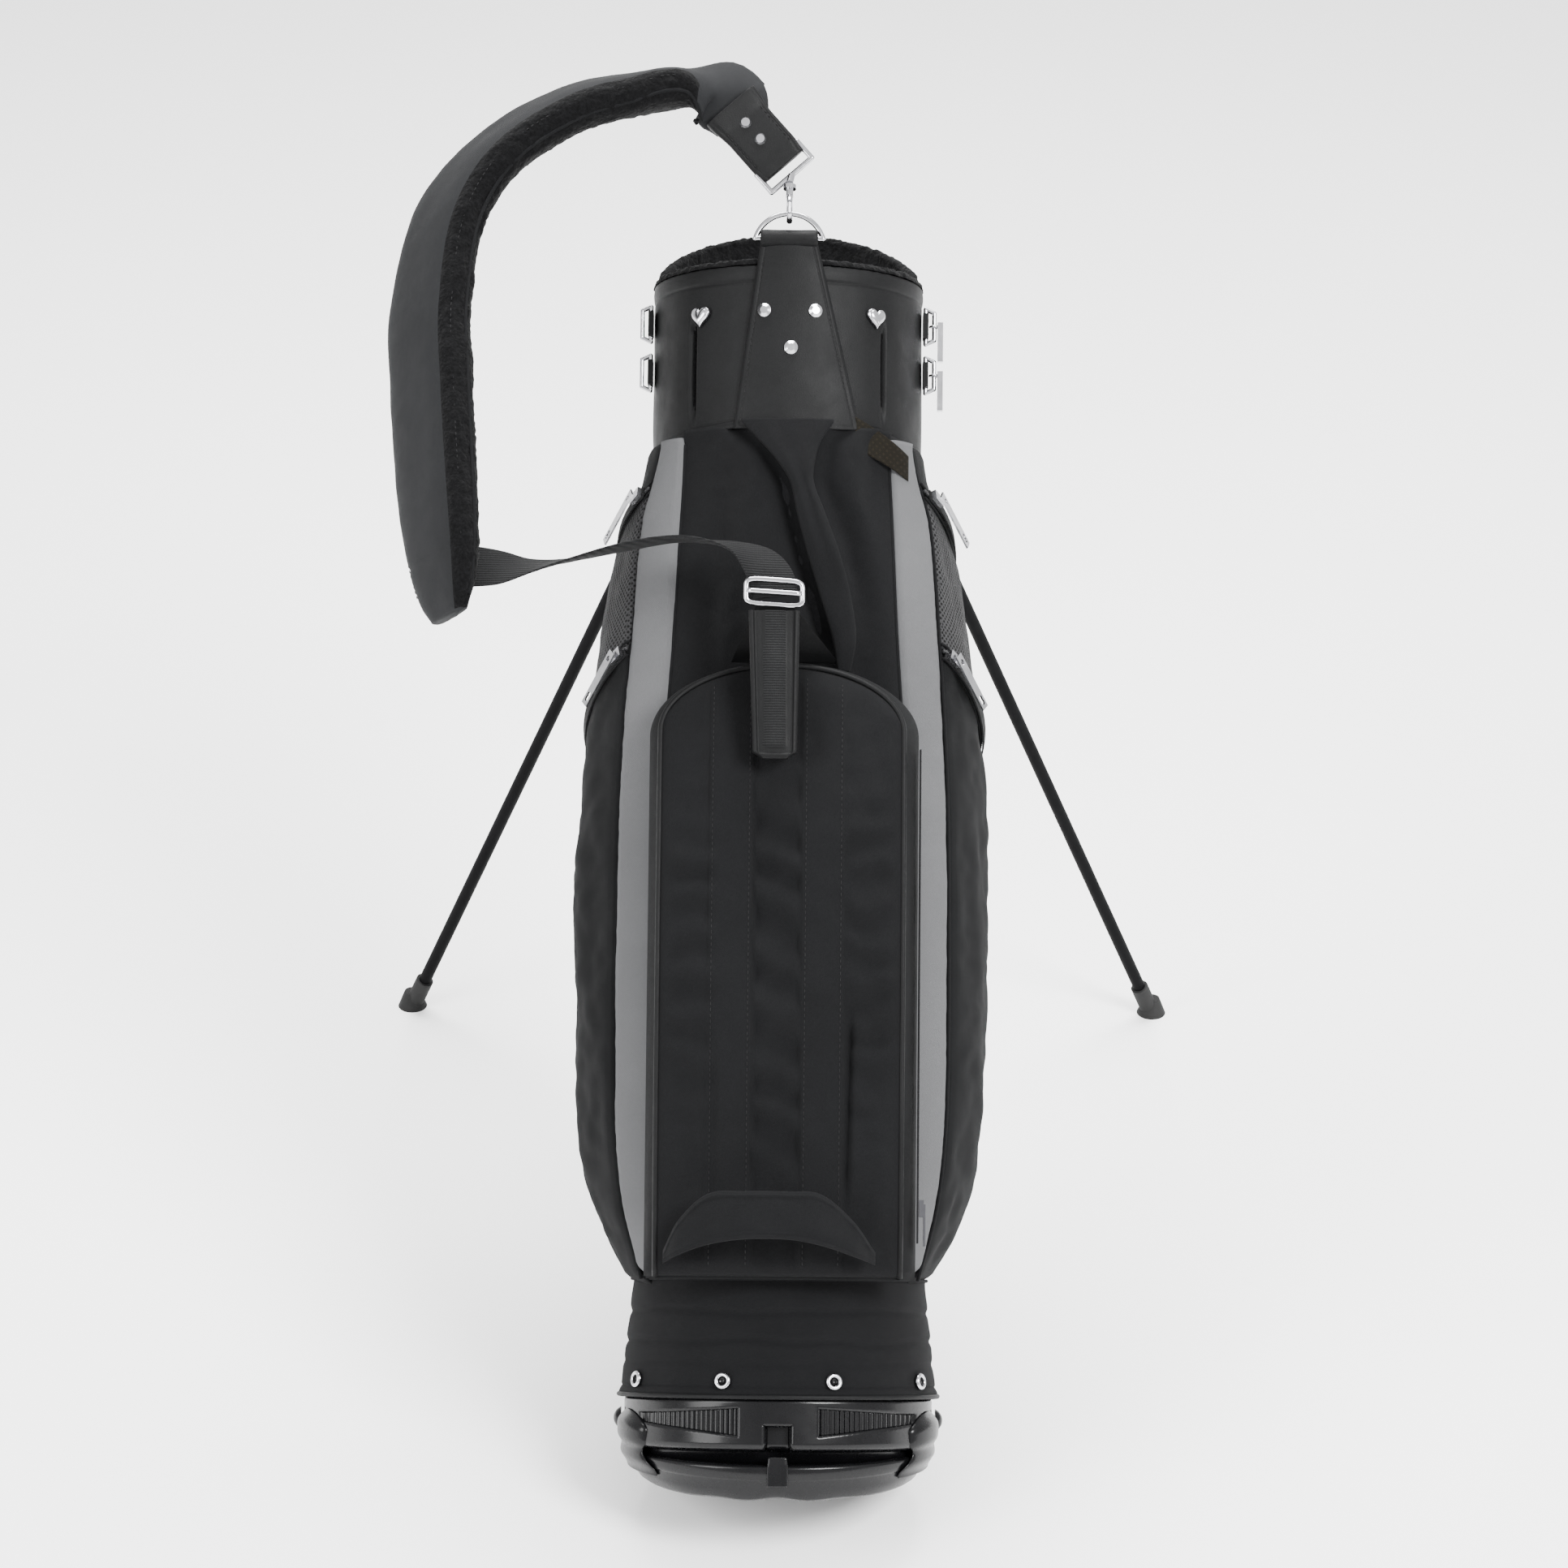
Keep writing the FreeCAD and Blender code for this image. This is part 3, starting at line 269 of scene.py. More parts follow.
class Nodes:
    """Small helper that wires up a procedural material."""

    def __init__(self, name, color, roughness, **sockets):
        self.mat = bpy.data.materials.new(name)
        self.mat.use_nodes = True
        self.tree = self.mat.node_tree
        self.bsdf = self.tree.nodes["Principled BSDF"]
        self.bsdf.inputs["Base Color"].default_value = (*color, 1.0)
        self.bsdf.inputs["Roughness"].default_value = roughness
        for socket, value in sockets.items():
            self.bsdf.inputs[socket.replace("_", " ")].default_value = value
        self.color = color
        self.height = None
        coords = self.add("ShaderNodeTexCoord")
        turn = self.add("ShaderNodeMapping")
        turn.inputs["Rotation"].default_value = TO_BAG_ROTATION
        turn.inputs["Scale"].default_value = (1000.0, 1000.0, 1000.0)
        self.link(coords.outputs["Object"], turn.inputs["Vector"])
        self.place = turn.outputs["Vector"]
        normal = self.add("ShaderNodeMapping")
        normal.inputs["Rotation"].default_value = TO_BAG_ROTATION
        self.link(coords.outputs["Normal"], normal.inputs["Vector"])
        self.normal = normal.outputs["Vector"]

    def add(self, kind, **settings):
        node = self.tree.nodes.new(kind)
        for key, value in settings.items():
            setattr(node, key, value)
        return node

    def link(self, a, b):
        self.tree.links.new(a, b)

    def math(self, operation, a, b=0.0, clamp=False):
        node = self.add("ShaderNodeMath", operation=operation, use_clamp=clamp)
        for socket, value in zip(node.inputs, (a, b)):
            if isinstance(value, (int, float)):
                socket.default_value = value
            else:
                self.link(value, socket)
        return node.outputs[0]

    def noise(self, size, detail=3.0, stretch=None):
        """Noise with features about size millimetres across."""
        vector = self.place
        if stretch:
            scaled = self.add("ShaderNodeMapping")
            scaled.inputs["Scale"].default_value = stretch
            self.link(vector, scaled.inputs["Vector"])
            vector = scaled.outputs["Vector"]
        node = self.add("ShaderNodeTexNoise")
        node.inputs["Scale"].default_value = 1.0 / size
        node.inputs["Detail"].default_value = detail
        self.link(vector, node.inputs["Vector"])
        return node.outputs["Fac"]

    def across_and_up(self):
        """Millimetres across and up a surface, whichever way it faces."""
        place = self.add("ShaderNodeSeparateXYZ")
        self.link(self.place, place.inputs[0])
        normal = self.add("ShaderNodeSeparateXYZ")
        self.link(self.normal, normal.inputs[0])
        sideways = self.math("GREATER_THAN", self.math("ABSOLUTE", normal.outputs[0]),
                             self.math("ABSOLUTE", normal.outputs[1]))
        mix = self.add("ShaderNodeMix")
        self.link(sideways, mix.inputs[0])
        self.link(place.outputs[0], mix.inputs[2])
        self.link(place.outputs[1], mix.inputs[3])
        return mix.outputs[0], place.outputs[2]

    def mixed(self, a, share_a, b, share_b):
        """Sum of two values, each times its share."""
        return self.math("ADD", self.math("MULTIPLY", a, share_a),
                         self.math("MULTIPLY", b, share_b))

    def ripple(self, value, period):
        """Wave from 0 to 1 along a length in millimetres."""
        wave = self.math("SINE", self.math("MULTIPLY", value, 2 * math.pi / period))
        return self.math("ADD", self.math("MULTIPLY", wave, 0.5), 0.5)

    def vary_color(self, fac, low, high):
        """Base colour between two shares of the main colour."""
        ramp = self.add("ShaderNodeValToRGB")
        ramp.color_ramp.elements[0].position = 0.3
        ramp.color_ramp.elements[1].position = 0.7
        ramp.color_ramp.elements[0].color = (*[c * low for c in self.color], 1.0)
        ramp.color_ramp.elements[1].color = (*[min(c * high, 1.0) for c in self.color], 1.0)
        self.link(fac, ramp.inputs[0])
        self.link(ramp.outputs[0], self.bsdf.inputs["Base Color"])

    def vary_roughness(self, fac, low, high):
        span = self.add("ShaderNodeMapRange")
        span.inputs["To Min"].default_value = low
        span.inputs["To Max"].default_value = high
        self.link(fac, span.inputs["Value"])
        self.link(span.outputs[0], self.bsdf.inputs["Roughness"])

    def bump(self, height, depth, strength=1.0):
        """Adds a bump of depth millimetres, on top of earlier ones."""
        node = self.add("ShaderNodeBump")
        node.inputs["Distance"].default_value = depth * 0.001
        node.inputs["Strength"].default_value = strength
        self.link(height, node.inputs["Height"])
        if self.height is not None:
            self.link(self.height, node.inputs["Normal"])
        self.height = node.outputs["Normal"]
        self.link(self.height, self.bsdf.inputs["Normal"])


def woven(name, color, thread, roughness=0.85, sheen=0.01, weave_depth=0.25, blotch=0.12):
    m = Nodes(name, color, roughness, Sheen_Weight=sheen, Sheen_Roughness=0.6,
              Specular_IOR_Level=0.06)
    across, up = m.across_and_up()
    warp = m.ripple(across, thread * 2)
    weft = m.ripple(up, thread * 2)
    weave = m.math("MAXIMUM", m.math("MULTIPLY", warp, m.math("SUBTRACT", 1.0, weft)),
                   m.math("MULTIPLY", weft, m.math("SUBTRACT", 1.0, warp)))
    m.vary_color(m.mixed(m.noise(70.0, 4.0), 0.6, m.noise(1.4, 2.0), 0.4),
                 1.0 - blotch, 1.0 + blotch)
    m.vary_roughness(m.noise(25.0), roughness - 0.08, min(roughness + 0.08, 1.0))
    m.bump(m.noise(14.0, 4.0), 0.7, 0.5)
    m.bump(weave, weave_depth, 0.8)
    return m.mat


def ribbed(name, color, rib, along="up", roughness=0.7):
    """Webbing: ribs across its width and a herringbone of threads."""
    m = Nodes(name, color, roughness, Sheen_Weight=0.01, Specular_IOR_Level=0.1)
    across, up = m.across_and_up()
    main, other = (up, across) if along == "up" else (across, up)
    ribs = m.ripple(main, rib)
    m.vary_color(m.mixed(ribs, 0.5, m.noise(6.0), 0.5), 0.7, 1.35)
    m.vary_roughness(m.noise(12.0), roughness - 0.1, roughness + 0.1)
    m.bump(m.ripple(other, rib * 0.8), 0.15, 0.6)
    m.bump(ribs, 0.45, 0.9)
    return m.mat


def leather(name, color, roughness=0.55, grain=1.3):
    m = Nodes(name, color, roughness, Specular_IOR_Level=0.1)
    cells = m.add("ShaderNodeTexVoronoi", feature="DISTANCE_TO_EDGE")
    cells.inputs["Scale"].default_value = 1.0 / grain
    m.link(m.place, cells.inputs["Vector"])
    m.vary_color(m.mixed(m.noise(45.0, 4.0), 0.7, m.noise(3.0, 3.0), 0.3), 0.78, 1.25)
    m.vary_roughness(m.noise(18.0, 5.0), roughness - 0.12, roughness + 0.12)
    m.bump(m.noise(20.0, 3.0), 0.8, 0.4)
    m.bump(cells.outputs["Distance"], 0.25, 0.7)
    return m.mat


def fleece(name, color):
    m = Nodes(name, color, 1.0, Sheen_Weight=0.03, Specular_IOR_Level=0.08)
    tufts = m.noise(2.2, 6.0)
    m.vary_color(tufts, 0.45, 1.7)
    m.bump(m.noise(6.0, 4.0), 2.0, 0.8)
    m.bump(tufts, 1.2, 0.9)
    return m.mat


def moulded(name, color, roughness, coat=0.0, texture=0.05, shine=0.25):
    m = Nodes(name, color, roughness, Coat_Weight=coat, Coat_Roughness=0.12,
              Specular_IOR_Level=shine)
    m.vary_color(m.noise(30.0, 4.0), 0.85, 1.2)
    m.vary_roughness(m.noise(9.0, 6.0), max(roughness - 0.07, 0.04), roughness + 0.1)
    m.bump(m.noise(0.9, 3.0), texture, 0.5)
    m.bump(m.noise(28.0, 2.0), 0.25, 0.35)
    return m.mat


def metal(name, color, roughness, scratch=0.03, metallic=1.0):
    m = Nodes(name, color, roughness, Metallic=metallic)
    m.vary_color(m.noise(8.0, 4.0), 0.88, 1.08)
    m.vary_roughness(m.noise(3.0, 8.0, (1.0, 1.0, 0.2)),
                     max(roughness - 0.06, 0.03), roughness + 0.14)
    m.bump(m.noise(0.6, 2.0, (1.0, 1.0, 0.1)), scratch, 0.4)
    return m.mat


def netting(name, color, cell):
    m = Nodes(name, color, 0.8, Sheen_Weight=0.01, Specular_IOR_Level=0.12)
    across, up = m.across_and_up()
    diagonal = m.math("ADD", across, up)
    other = m.math("SUBTRACT", across, up)
    holes = m.math("MULTIPLY", m.ripple(diagonal, cell), m.ripple(other, cell))
    threads = m.math("SUBTRACT", 1.0, m.math("POWER", holes, 0.6))
    m.vary_color(threads, 0.06, 2.2)
    m.vary_roughness(m.noise(20.0), 0.7, 0.95)
    m.bump(threads, 1.2, 1.0)
    return m.mat


def brocade(name, ground, figure):
    """Woven label: plain diagonal lozenges, no lettering."""
    m = Nodes(name, ground, 0.6, Sheen_Weight=0.01, Specular_IOR_Level=0.06)
    across, up = m.across_and_up()
    lozenge = m.math("MULTIPLY", m.ripple(m.math("ADD", across, up), 5.0),
                     m.ripple(m.math("SUBTRACT", across, up), 5.0))
    mix = m.add("ShaderNodeMix", data_type="RGBA")
    mix.inputs[6].default_value = (*ground, 1.0)
    mix.inputs[7].default_value = (*figure, 1.0)
    m.link(m.math("GREATER_THAN", lozenge, 0.55), mix.inputs[0])
    m.link(mix.outputs[2], m.bsdf.inputs["Base Color"])
    m.vary_roughness(m.noise(5.0), 0.5, 0.75)
    m.bump(m.ripple(up, 0.6), 0.12, 0.6)
    m.bump(lozenge, 0.2, 0.6)
    return m.mat


NYLON = woven("black_nylon", (0.0042, 0.0043, 0.0047), 0.45)
NYLON_SIDE = woven("side_nylon", (0.0048, 0.0050, 0.0053), 0.45)
STRIPE = woven("grey_stripe", (0.0764, 0.0772, 0.0796), 0.5, roughness=0.8, blotch=0.08)
LINING = woven("lining_cloth", (0.010, 0.010, 0.011), 0.3)
PAD_COVER = woven("pad_cover", (0.0093, 0.0096, 0.0104), 0.35, roughness=0.6, sheen=0.01,
                  weave_depth=0.12)
MESH_NET = netting("black_mesh", (0.0120, 0.0120, 0.0125), 4.2)
FLEECE = fleece("black_fleece", (0.0017, 0.0017, 0.0019))
LEATHER = leather("black_leather", (0.0037, 0.0038, 0.0040))
WEBBING = ribbed("black_webbing", (0.0046, 0.0047, 0.0050), 1.8)
TAPE = ribbed("zip_tape", (0.0060, 0.0060, 0.0065), 1.0, roughness=0.8)
THREAD = ribbed("sewing_thread", (0.0120, 0.0120, 0.0125), 0.5)
GLOSS = moulded("gloss_black", (0.0030, 0.0030, 0.0034), 0.26, coat=0.12, shine=0.12)
PLASTIC = moulded("black_plastic", (0.011, 0.011, 0.012), 0.5, texture=0.12)
RUBBER = moulded("black_rubber", (0.009, 0.009, 0.009), 0.8, texture=0.2)
CHROME = metal("chrome", (0.50, 0.50, 0.52), 0.16)
STEEL = metal("steel_wire", (0.32, 0.32, 0.33), 0.32)
BLACK_TUBE = moulded("black_tube", (0.0027, 0.0027, 0.0030), 0.6, texture=0.02, shine=0.04)
DARK_METAL = metal("dark_slider", (0.06, 0.06, 0.065), 0.35)
GLASS_FIBRE = moulded("glass_fibre", (0.55, 0.53, 0.46), 0.35)
LABEL = brocade("olive_label", (0.0040, 0.0032, 0.0018), (0.0075, 0.0060, 0.0034))

NODE_MATERIALS = {
    "base_cup": GLOSS, "foot_tray": GLOSS, "tray_hinge_pins": GLOSS, "base_nubs": RUBBER,
    "base_cuff_snaps": CHROME, "body_lining": LINING, "stay_rods": GLASS_FIBRE,
    "top_ring": PLASTIC, "divider_bars": FLEECE, "tab_rivets": CHROME, "heart_studs": CHROME,
    "side_ring_tabs": LEATHER, "side_rings": CHROME, "snap_hook": CHROME, "tri_glide": CHROME,
    "strap_anchor": LEATHER, "zipper_tapes": TAPE, "leg_bracket": PLASTIC, "leg_pivot_pins": STEEL,
    "rod_guides": PLASTIC, "push_rod": STEEL, "right_leg_head": PLASTIC, "left_leg_head": PLASTIC,
    "right_leg_tube": BLACK_TUBE, "left_leg_tube": BLACK_TUBE, "right_leg_foot": RUBBER,
    "left_leg_foot": RUBBER, "strap_end_rivets": CHROME, "strap_end_ring": CHROME,
    "snap_gate": CHROME, "d_ring": CHROME, "upper_clasp": CHROME, "lower_clasp": CHROME,
    "pocket_slider": DARK_METAL}
for side_name in ("left", "right"):
    for level_name in ("upper", "lower"):
        NODE_MATERIALS[f"{side_name}_{level_name}_slider"] = CHROME
        NODE_MATERIALS[f"{side_name}_{level_name}_pull"] = CHROME

for node_name, node in NODES.items():
    node.data.materials.clear()
    node.data.materials.append(NODE_MATERIALS.get(node_name, NYLON))


def dress(obj, material, body, slot, *replaced):
    """Gives a piece its material and body, and hides the nodes it stands for; slot is not used."""
    obj.data.materials.clear()
    obj.data.materials.append(material)
    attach(obj, body)
    if replaced:
        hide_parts(*replaced)
    return obj


def stretched(obj, width, *under):
    """Returns a sewn panel unchanged; width and under are not used. Declares a sewn panel as
    a stretched sheet: nominal width, and its own area over that.
    """
    return obj


# ---- body ---------------------------------------------------------------------------


def level_at(z):
    return [curve_value(SIDE_LEVELS[:, 0], SIDE_LEVELS[:, k], z) for k in range(1, 6)]


def circle_through(a, b, c):
    """Centre and radius of the level circle through three (x, y) places."""
    m = np.array([[b[0] - a[0], b[1] - a[1]], [c[0] - a[0], c[1] - a[1]]])
    r = 0.5 * np.array([b[0] ** 2 - a[0] ** 2 + b[1] ** 2 - a[1] ** 2,
                        c[0] ** 2 - a[0] ** 2 + c[1] ** 2 - a[1] ** 2])
    centre = np.linalg.solve(m, r)
    return centre, math.hypot(a[0] - centre[0], a[1] - centre[1])


def side_point(z, share, out=0.0):
    """Place on the right side panel: share 0 at the stripe, 1 at the back panel."""
    half, _, _, back_x, back_y = level_at(z)
    front, wide, back = (back_x, back_y), (half, 6.0), (62.5, 101.0)
    centre, radius = circle_through(front, wide, back)
    start = math.atan2(front[1] - centre[1], front[0] - centre[0])
    end = math.atan2(back[1] - centre[1], back[0] - centre[0])
    angle = start + (end - start) * share
    reach = radius + out
    return np.array([centre[0] + reach * math.cos(angle), centre[1] + reach * math.sin(angle), z])


def zip_height(rows, share):
    """Height of a slanted zip on the side panel at a share of the way round."""
    return curve_value([-0.01, 0.03, 0.36, 0.70, 1.01], rows, share)


UPPER_ZIP_HEIGHTS = [716.0, 713.0, 681.0, 645.0, 618.0]
LOWER_ZIP_HEIGHTS = [598.0, 596.0, 548.0, 504.0, 472.0]


def side_panel(name, sign, low, high, folds, seed, rows, cols=60):
    """Cloth of a side between two heights, each a function of the share round the panel."""
    def place(u, v):
        z0, z1 = low(v), high(v)
        z = z0 + (z1 - z0) * u
        p = side_point(z, v)
        calm = min(min(v, 1 - v) * 12, 1.0) * min(min(u, 1 - u) * (z1 - z0) / 18.0, 1.0)
        sag = folds * calm * (wobble((p[0], p[1], p[2] * 0.35), 34.0, seed)
                              + 0.5 * wobble(p, 16.0, seed + 7))
        hem = -1.5 * (1 - smooth_step(0.0, 3.5, min(u, 1 - u) * (z1 - z0)))
        hem -= 1.6 * (1 - smooth_step(0.0, 0.03, v)) + 7.0 * falls(148.0, 156.0, z)
        q = side_point(z, v, sag + hem - 0.6)
        return (sign * q[0], q[1], q[2])
    obj = sheet_piece(name, place, rows, cols, 1.6)
    return obj


def stripe_point(z, share, out=0.0):
    """Place on the right stripe: share 0 at its front edge, 1 at its back edge."""
    _, front_x, front_y, back_x, back_y = level_at(z)
    a, b = np.array([front_x, front_y]), np.array([back_x, back_y])
    p = a + (b - a) * share
    normal = np.array([(b - a)[1], -(b - a)[0]]) / np.linalg.norm(b - a)
    crown = out + 2.4 * (1 - (2 * share - 1) ** 2)
    return np.array([p[0] + normal[0] * crown, p[1] + normal[1] * crown, z])


def stripe(name, sign):
    def place(u, v):
        z = BODY_BOTTOM - 3 + (BODY_TOP + 8 - BODY_BOTTOM) * u
        level = min(max(z, BODY_BOTTOM), BODY_TOP)
        ripple = (1.1 * wobble((0, v * 20, z), 42.0, sign * 3.0)
                  + 0.5 * wobble((v * 9, 0, z), 13.0, sign))
        pucker = (0.5 * wobble((v * 30, 0, z * 1.5), 7.0, 4.0)
                  * (1 - smooth_step(0.0, 0.3, min(v, 1 - v))))
        tuck = -3.5 * (1 - smooth_step(0.0, 0.13, min(v, 1 - v)))
        q = stripe_point(level, v, ripple + tuck + pucker - 15.0 * falls(148.0, 162.0, z))
        return (sign * q[0], q[1], z)
    obj = sheet_piece(name, place, 200, 18, 1.4)
    return obj


# left edge of the gathered strip and its width, at each height
GATHER = np.array([
    (577.0, 37.0, 9.0), (600.0, 33.0, 17.0), (630.0, 24.0, 22.0), (660.0, 15.0, 23.0),
    (690.0, 7.0, 20.0), (712.0, 2.0, 17.0), (728.0, -8.0, 28.0), (742.0, -20.0, 44.0),
    (756.0, -33.0, 66.0)])


def gather_at(z):
    return curve_value(GATHER[:, 0], GATHER[:, 1], z), curve_value(GATHER[:, 0], GATHER[:, 2], z)


def front_radius(turn, z):
    """Radius of the front cloth: it hangs in soft folds beside the gathered strip."""
    x = TUBE_R * math.sin(math.radians(turn))
    edge, width = gather_at(max(z, GATHER_BOTTOM))
    near = smooth_step(560.0, 610.0, z)
    beside = x - edge
    hollow = -5.5 * bell(beside + 5.0, 9.0)
    right = -4.5 * bell(beside - width - 9.0, 8.0)
    ridge = 3.4 * bell(beside - width - 26.0, 9.0) * smooth_step(640.0, 700.0, z)
    fold = 3.0 * bell(x + 33.0 - (z - 660.0) * 0.12, 9.0)
    dip = -2.6 * bell(x + 50.0 - (z - 660.0) * 0.10, 8.0)
    soft = (1.8 * wobble((turn * 1.6, 0, z * 0.45), 24.0, 5.0)
            + 0.7 * wobble((turn * 1.7, 3, z), 10.0, 2.0))
    return TUBE_R + 3.5 + near * (1.4 * hollow + right + ridge + (fold + dip) * 0.8 + soft)


def front_panel():
    def place(u, v):
        z = FRONT_BOTTOM + (FRONT_TOP - FRONT_BOTTOM) * u
        level = level_at(min(max(z, BODY_BOTTOM), BODY_TOP))
        corner_turn = math.degrees(math.atan2(level[1], -level[2]))
        corner_r = math.hypot(level[1], level[2]) - 1.6
        turn = corner_turn * (2 * v - 1)
        edge = smooth_step(27.0, corner_turn, abs(turn)) * smooth_step(756.0, 738.0, z)
        r = front_radius(turn, z) * (1 - edge) + corner_r * edge
        a = math.radians(turn)
        return (r * math.sin(a), -r * math.cos(a), z)
    obj = sheet_piece("front_cloth", place, 240, 130, 1.4)
    dress(obj, NYLON, "bag", "black_nylon", "front_panel")
    stretched(obj, 165.0, "body_lining")


def back_panel():
    def place(u, v):
        z = BODY_BOTTOM - 2 + (BODY_TOP - 4 - BODY_BOTTOM) * u
        x = -63.5 + 127.0 * v
        quilt = 0.0
        for k in range(1, 4):
            quilt -= 1.6 * bell(v - k / 4, 0.012)
        for k in range(1, 5):
            quilt -= 1.6 * bell(u - k / 5, 0.006)
        puff = 1.2 * abs(math.sin(math.pi * v * 4)) * abs(math.sin(math.pi * u * 5)) ** 0.5
        edge = -3.0 * (1 - smooth_step(0.0, 0.05, min(v, 1 - v)))
        return (x, 101.6 + puff + quilt + edge + 0.4 * wobble((x, 0, z), 25.0), z)
    obj = sheet_piece("back_pad", place, 160, 70, 3.0)
    dress(obj, NYLON_SIDE, "bag", "black_nylon", "back_panel")


def lining():
    def place(u, v):
        a = 2 * math.pi * v
        z = LINING_BOTTOM + (BODY_TOP - LINING_BOTTOM) * u
        slack = 0.7 * wobble((60 * math.cos(a), 60 * math.sin(a), z * 0.4), 24.0)
        r = 94.2 + 0.9 * math.sin(12 * a) + slack
        return (r * math.sin(a), -r * math.cos(a), z)
    obj = sheet_piece("lining_tube", place, 70, 144, 0.7, closed_cols=True, turned=False)
    dress(obj, LINING, "bag", "lining_cloth", "body_lining")
    stretched(obj, 592.0, "stay_rods")


def side_line(sign, heights, lift):
    points = []
    for share in np.linspace(0.0, 1.0, 70):
        p = side_point(heights(share), share, lift)
        points.append((sign * p[0], p[1], p[2]))
    return points


def body():
    front_panel()
    back_panel()
    lining()

    def bottom(_):
        return BODY_BOTTOM - 2.5

    def lower(share):
        return zip_height(LOWER_ZIP_HEIGHTS, share)

    def upper(share):
        return zip_height(UPPER_ZIP_HEIGHTS, share)

    def top(_):
        return BODY_TOP + 4.0
    for sign, hand in ((1, "right"), (-1, "left")):
        # piece, edges, depth of folds, seed, rows, cloth, slot, width, the CAD node of both sides
        for label, low, high, folds, seed, rows, cloth, slot, width, node in (
                ("side_pocket", bottom, lower, 3.6, 1.5, 150, NYLON_SIDE, "black_nylon", 175.0,
                 "side_pockets"),
                ("mesh", lower, upper, 2.4, 4.5, 60, MESH_NET, "black_mesh", 165.0, "mesh_pockets"),
                ("shoulder", upper, top, 1.4, 8.5, 50, NYLON_SIDE, "black_nylon", 165.0,
                 "shoulder_panels")):
            panel = side_panel(f"{hand}_{label}_cloth", sign, low, high, folds, seed + sign, rows)
            dress(panel, cloth, "bag", slot, *([node] if sign > 0 else []))
            stretched(panel, width, "stay_rods")
        band = stripe(hand + "_stripe_cloth", sign)
        dress(band, STRIPE, "bag", "grey_stripe", *(["stripes"] if sign > 0 else []))
        stretched(band, 36.0, "stay_rods")
        for heights, label in ((lower, "lower"), (upper, "upper")):
            teeth = stitch_piece(f"{hand}_{label}_zip_teeth", side_line(sign, heights, 1.6),
                                 1.3, 0.9, 1.5)
            dress(teeth, PLASTIC, "bag", "black_plastic")
            for drop, edge in ((-5.2, "under"), (5.2, "over")):
                line = side_line(sign, lambda s, h=heights, d=drop: h(s) + d, 0.5)
                cord = pipe_piece(f"{hand}_{label}_{edge}_piping", line, 1.1)
                dress(cord, NYLON, "bag", "black_nylon")
        for share, label in ((0.0, "front"), (1.0, "back")):
            edge = [stripe_point(z, share, -1.9) for z in np.linspace(BODY_BOTTOM, BODY_TOP, 120)]
            line = [(sign * p[0], p[1], p[2]) for p in edge]
            cord = pipe_piece(f"{hand}_stripe_{label}_piping", line, 1.4)
            dress(cord, NYLON, "bag", "black_nylon")


# ---- ball pocket --------------------------------------------------------------------

POCKET_BOTTOM, POCKET_SHOULDER, POCKET_TOP = 152.0, 530.0, 578.0
POCKET_HALF_FRONT, POCKET_HALF_BACK = 84.5, 93.0
POCKET_BACK_Y = -104.0
POCKET_SHIFT = -1.5
POCKET_UNDER_STEPS = 40


def pocket_crown(z):
    """Depth of the pocket's front at a height, along its middle."""
    return curve_value([150.0, 162.0, 250.0, 370.0, 480.0, 545.0, 580.0],
                       [-124.0, -128.0, -142.0, -149.0, -145.0, -134.0, -122.0], z)


def pocket_top(x, half, top):
    share = min(abs(x) / half, 1.0)
    return POCKET_SHOULDER + (top - POCKET_SHOULDER) * math.sqrt(1 - share * share)


def pocket_relief(x, z):
    """Bands, wrinkles and folds of the pocket's front, in millimetres outwards."""
    on_band = max(smooth_step(-51, -49, x) * falls(-21, -19, x),
                  smooth_step(14, 16, x) * falls(43, 45, x))
    middle = smooth_step(-20, -16, x) * falls(11, 15, x)
    drift = 9.0 * wobble((0, 0, z), 55.0, 9.0)
    pucker = (math.sin((z + drift + 0.5 * x) / 36.0 * 2 * math.pi)
              + 0.5 * wobble((x, 0, z), 15.0, 4.0))
    centre = middle * (-1.4 + 2.5 * pucker * smooth_step(170, 260, z) * falls(470, 540, z))
    slack = (5.0 * wobble((x * 0.6, 0, z * 0.4), 36.0, 3.0)
             + 1.5 * wobble((x, 0, z * 0.8), 15.0, 6.0))
    side = smooth_step(40, 52, abs(x))
    cross = 1.5 * side * math.sin((z + 14 * wobble((x, 0, z), 40.0, 2.0)) / 27.0 * 2 * math.pi)
    cross *= smooth_step(230, 300, z) * falls(430, 500, z)
    crease = -5.0 * bell(x - 47.5 - 0.02 * (z - 260), 2.8)
    crease *= smooth_step(190, 230, z) * falls(310, 350, z)
    shadow = -3.0 * bell(x + 47.0, 4.0) * smooth_step(180, 220, z) * falls(280, 330, z)
    under_loop = -3.0 * math.exp(-((x - 20.0) / 14.0) ** 2 - ((z - 500.0) / 40.0) ** 2)
    press = -2.5 * bell(x + 8.0, 24.0) * smooth_step(495, 520, z)
    return (1.5 * on_band + centre + slack * (0.5 + 0.5 * (1 - on_band)) + cross + crease
            + shadow + under_loop + press)


def pocket_front_point(x, z):
    top = pocket_top(x, POCKET_HALF_FRONT, POCKET_TOP)
    inset = min(POCKET_HALF_FRONT - abs(x), z - POCKET_BOTTOM, (top - z) * 0.9)
    soften = smooth_step(0.0, 16.0, inset)
    roll = 5.0 * (1 - math.sqrt(max(0.0, 1 - (1 - min(inset / 12.0, 1.0)) ** 2)))
    barrel = 5.0 * (x / POCKET_HALF_FRONT) ** 2
    return (x + POCKET_SHIFT, pocket_crown(z) + barrel + roll - pocket_relief(x, z) * soften, z)


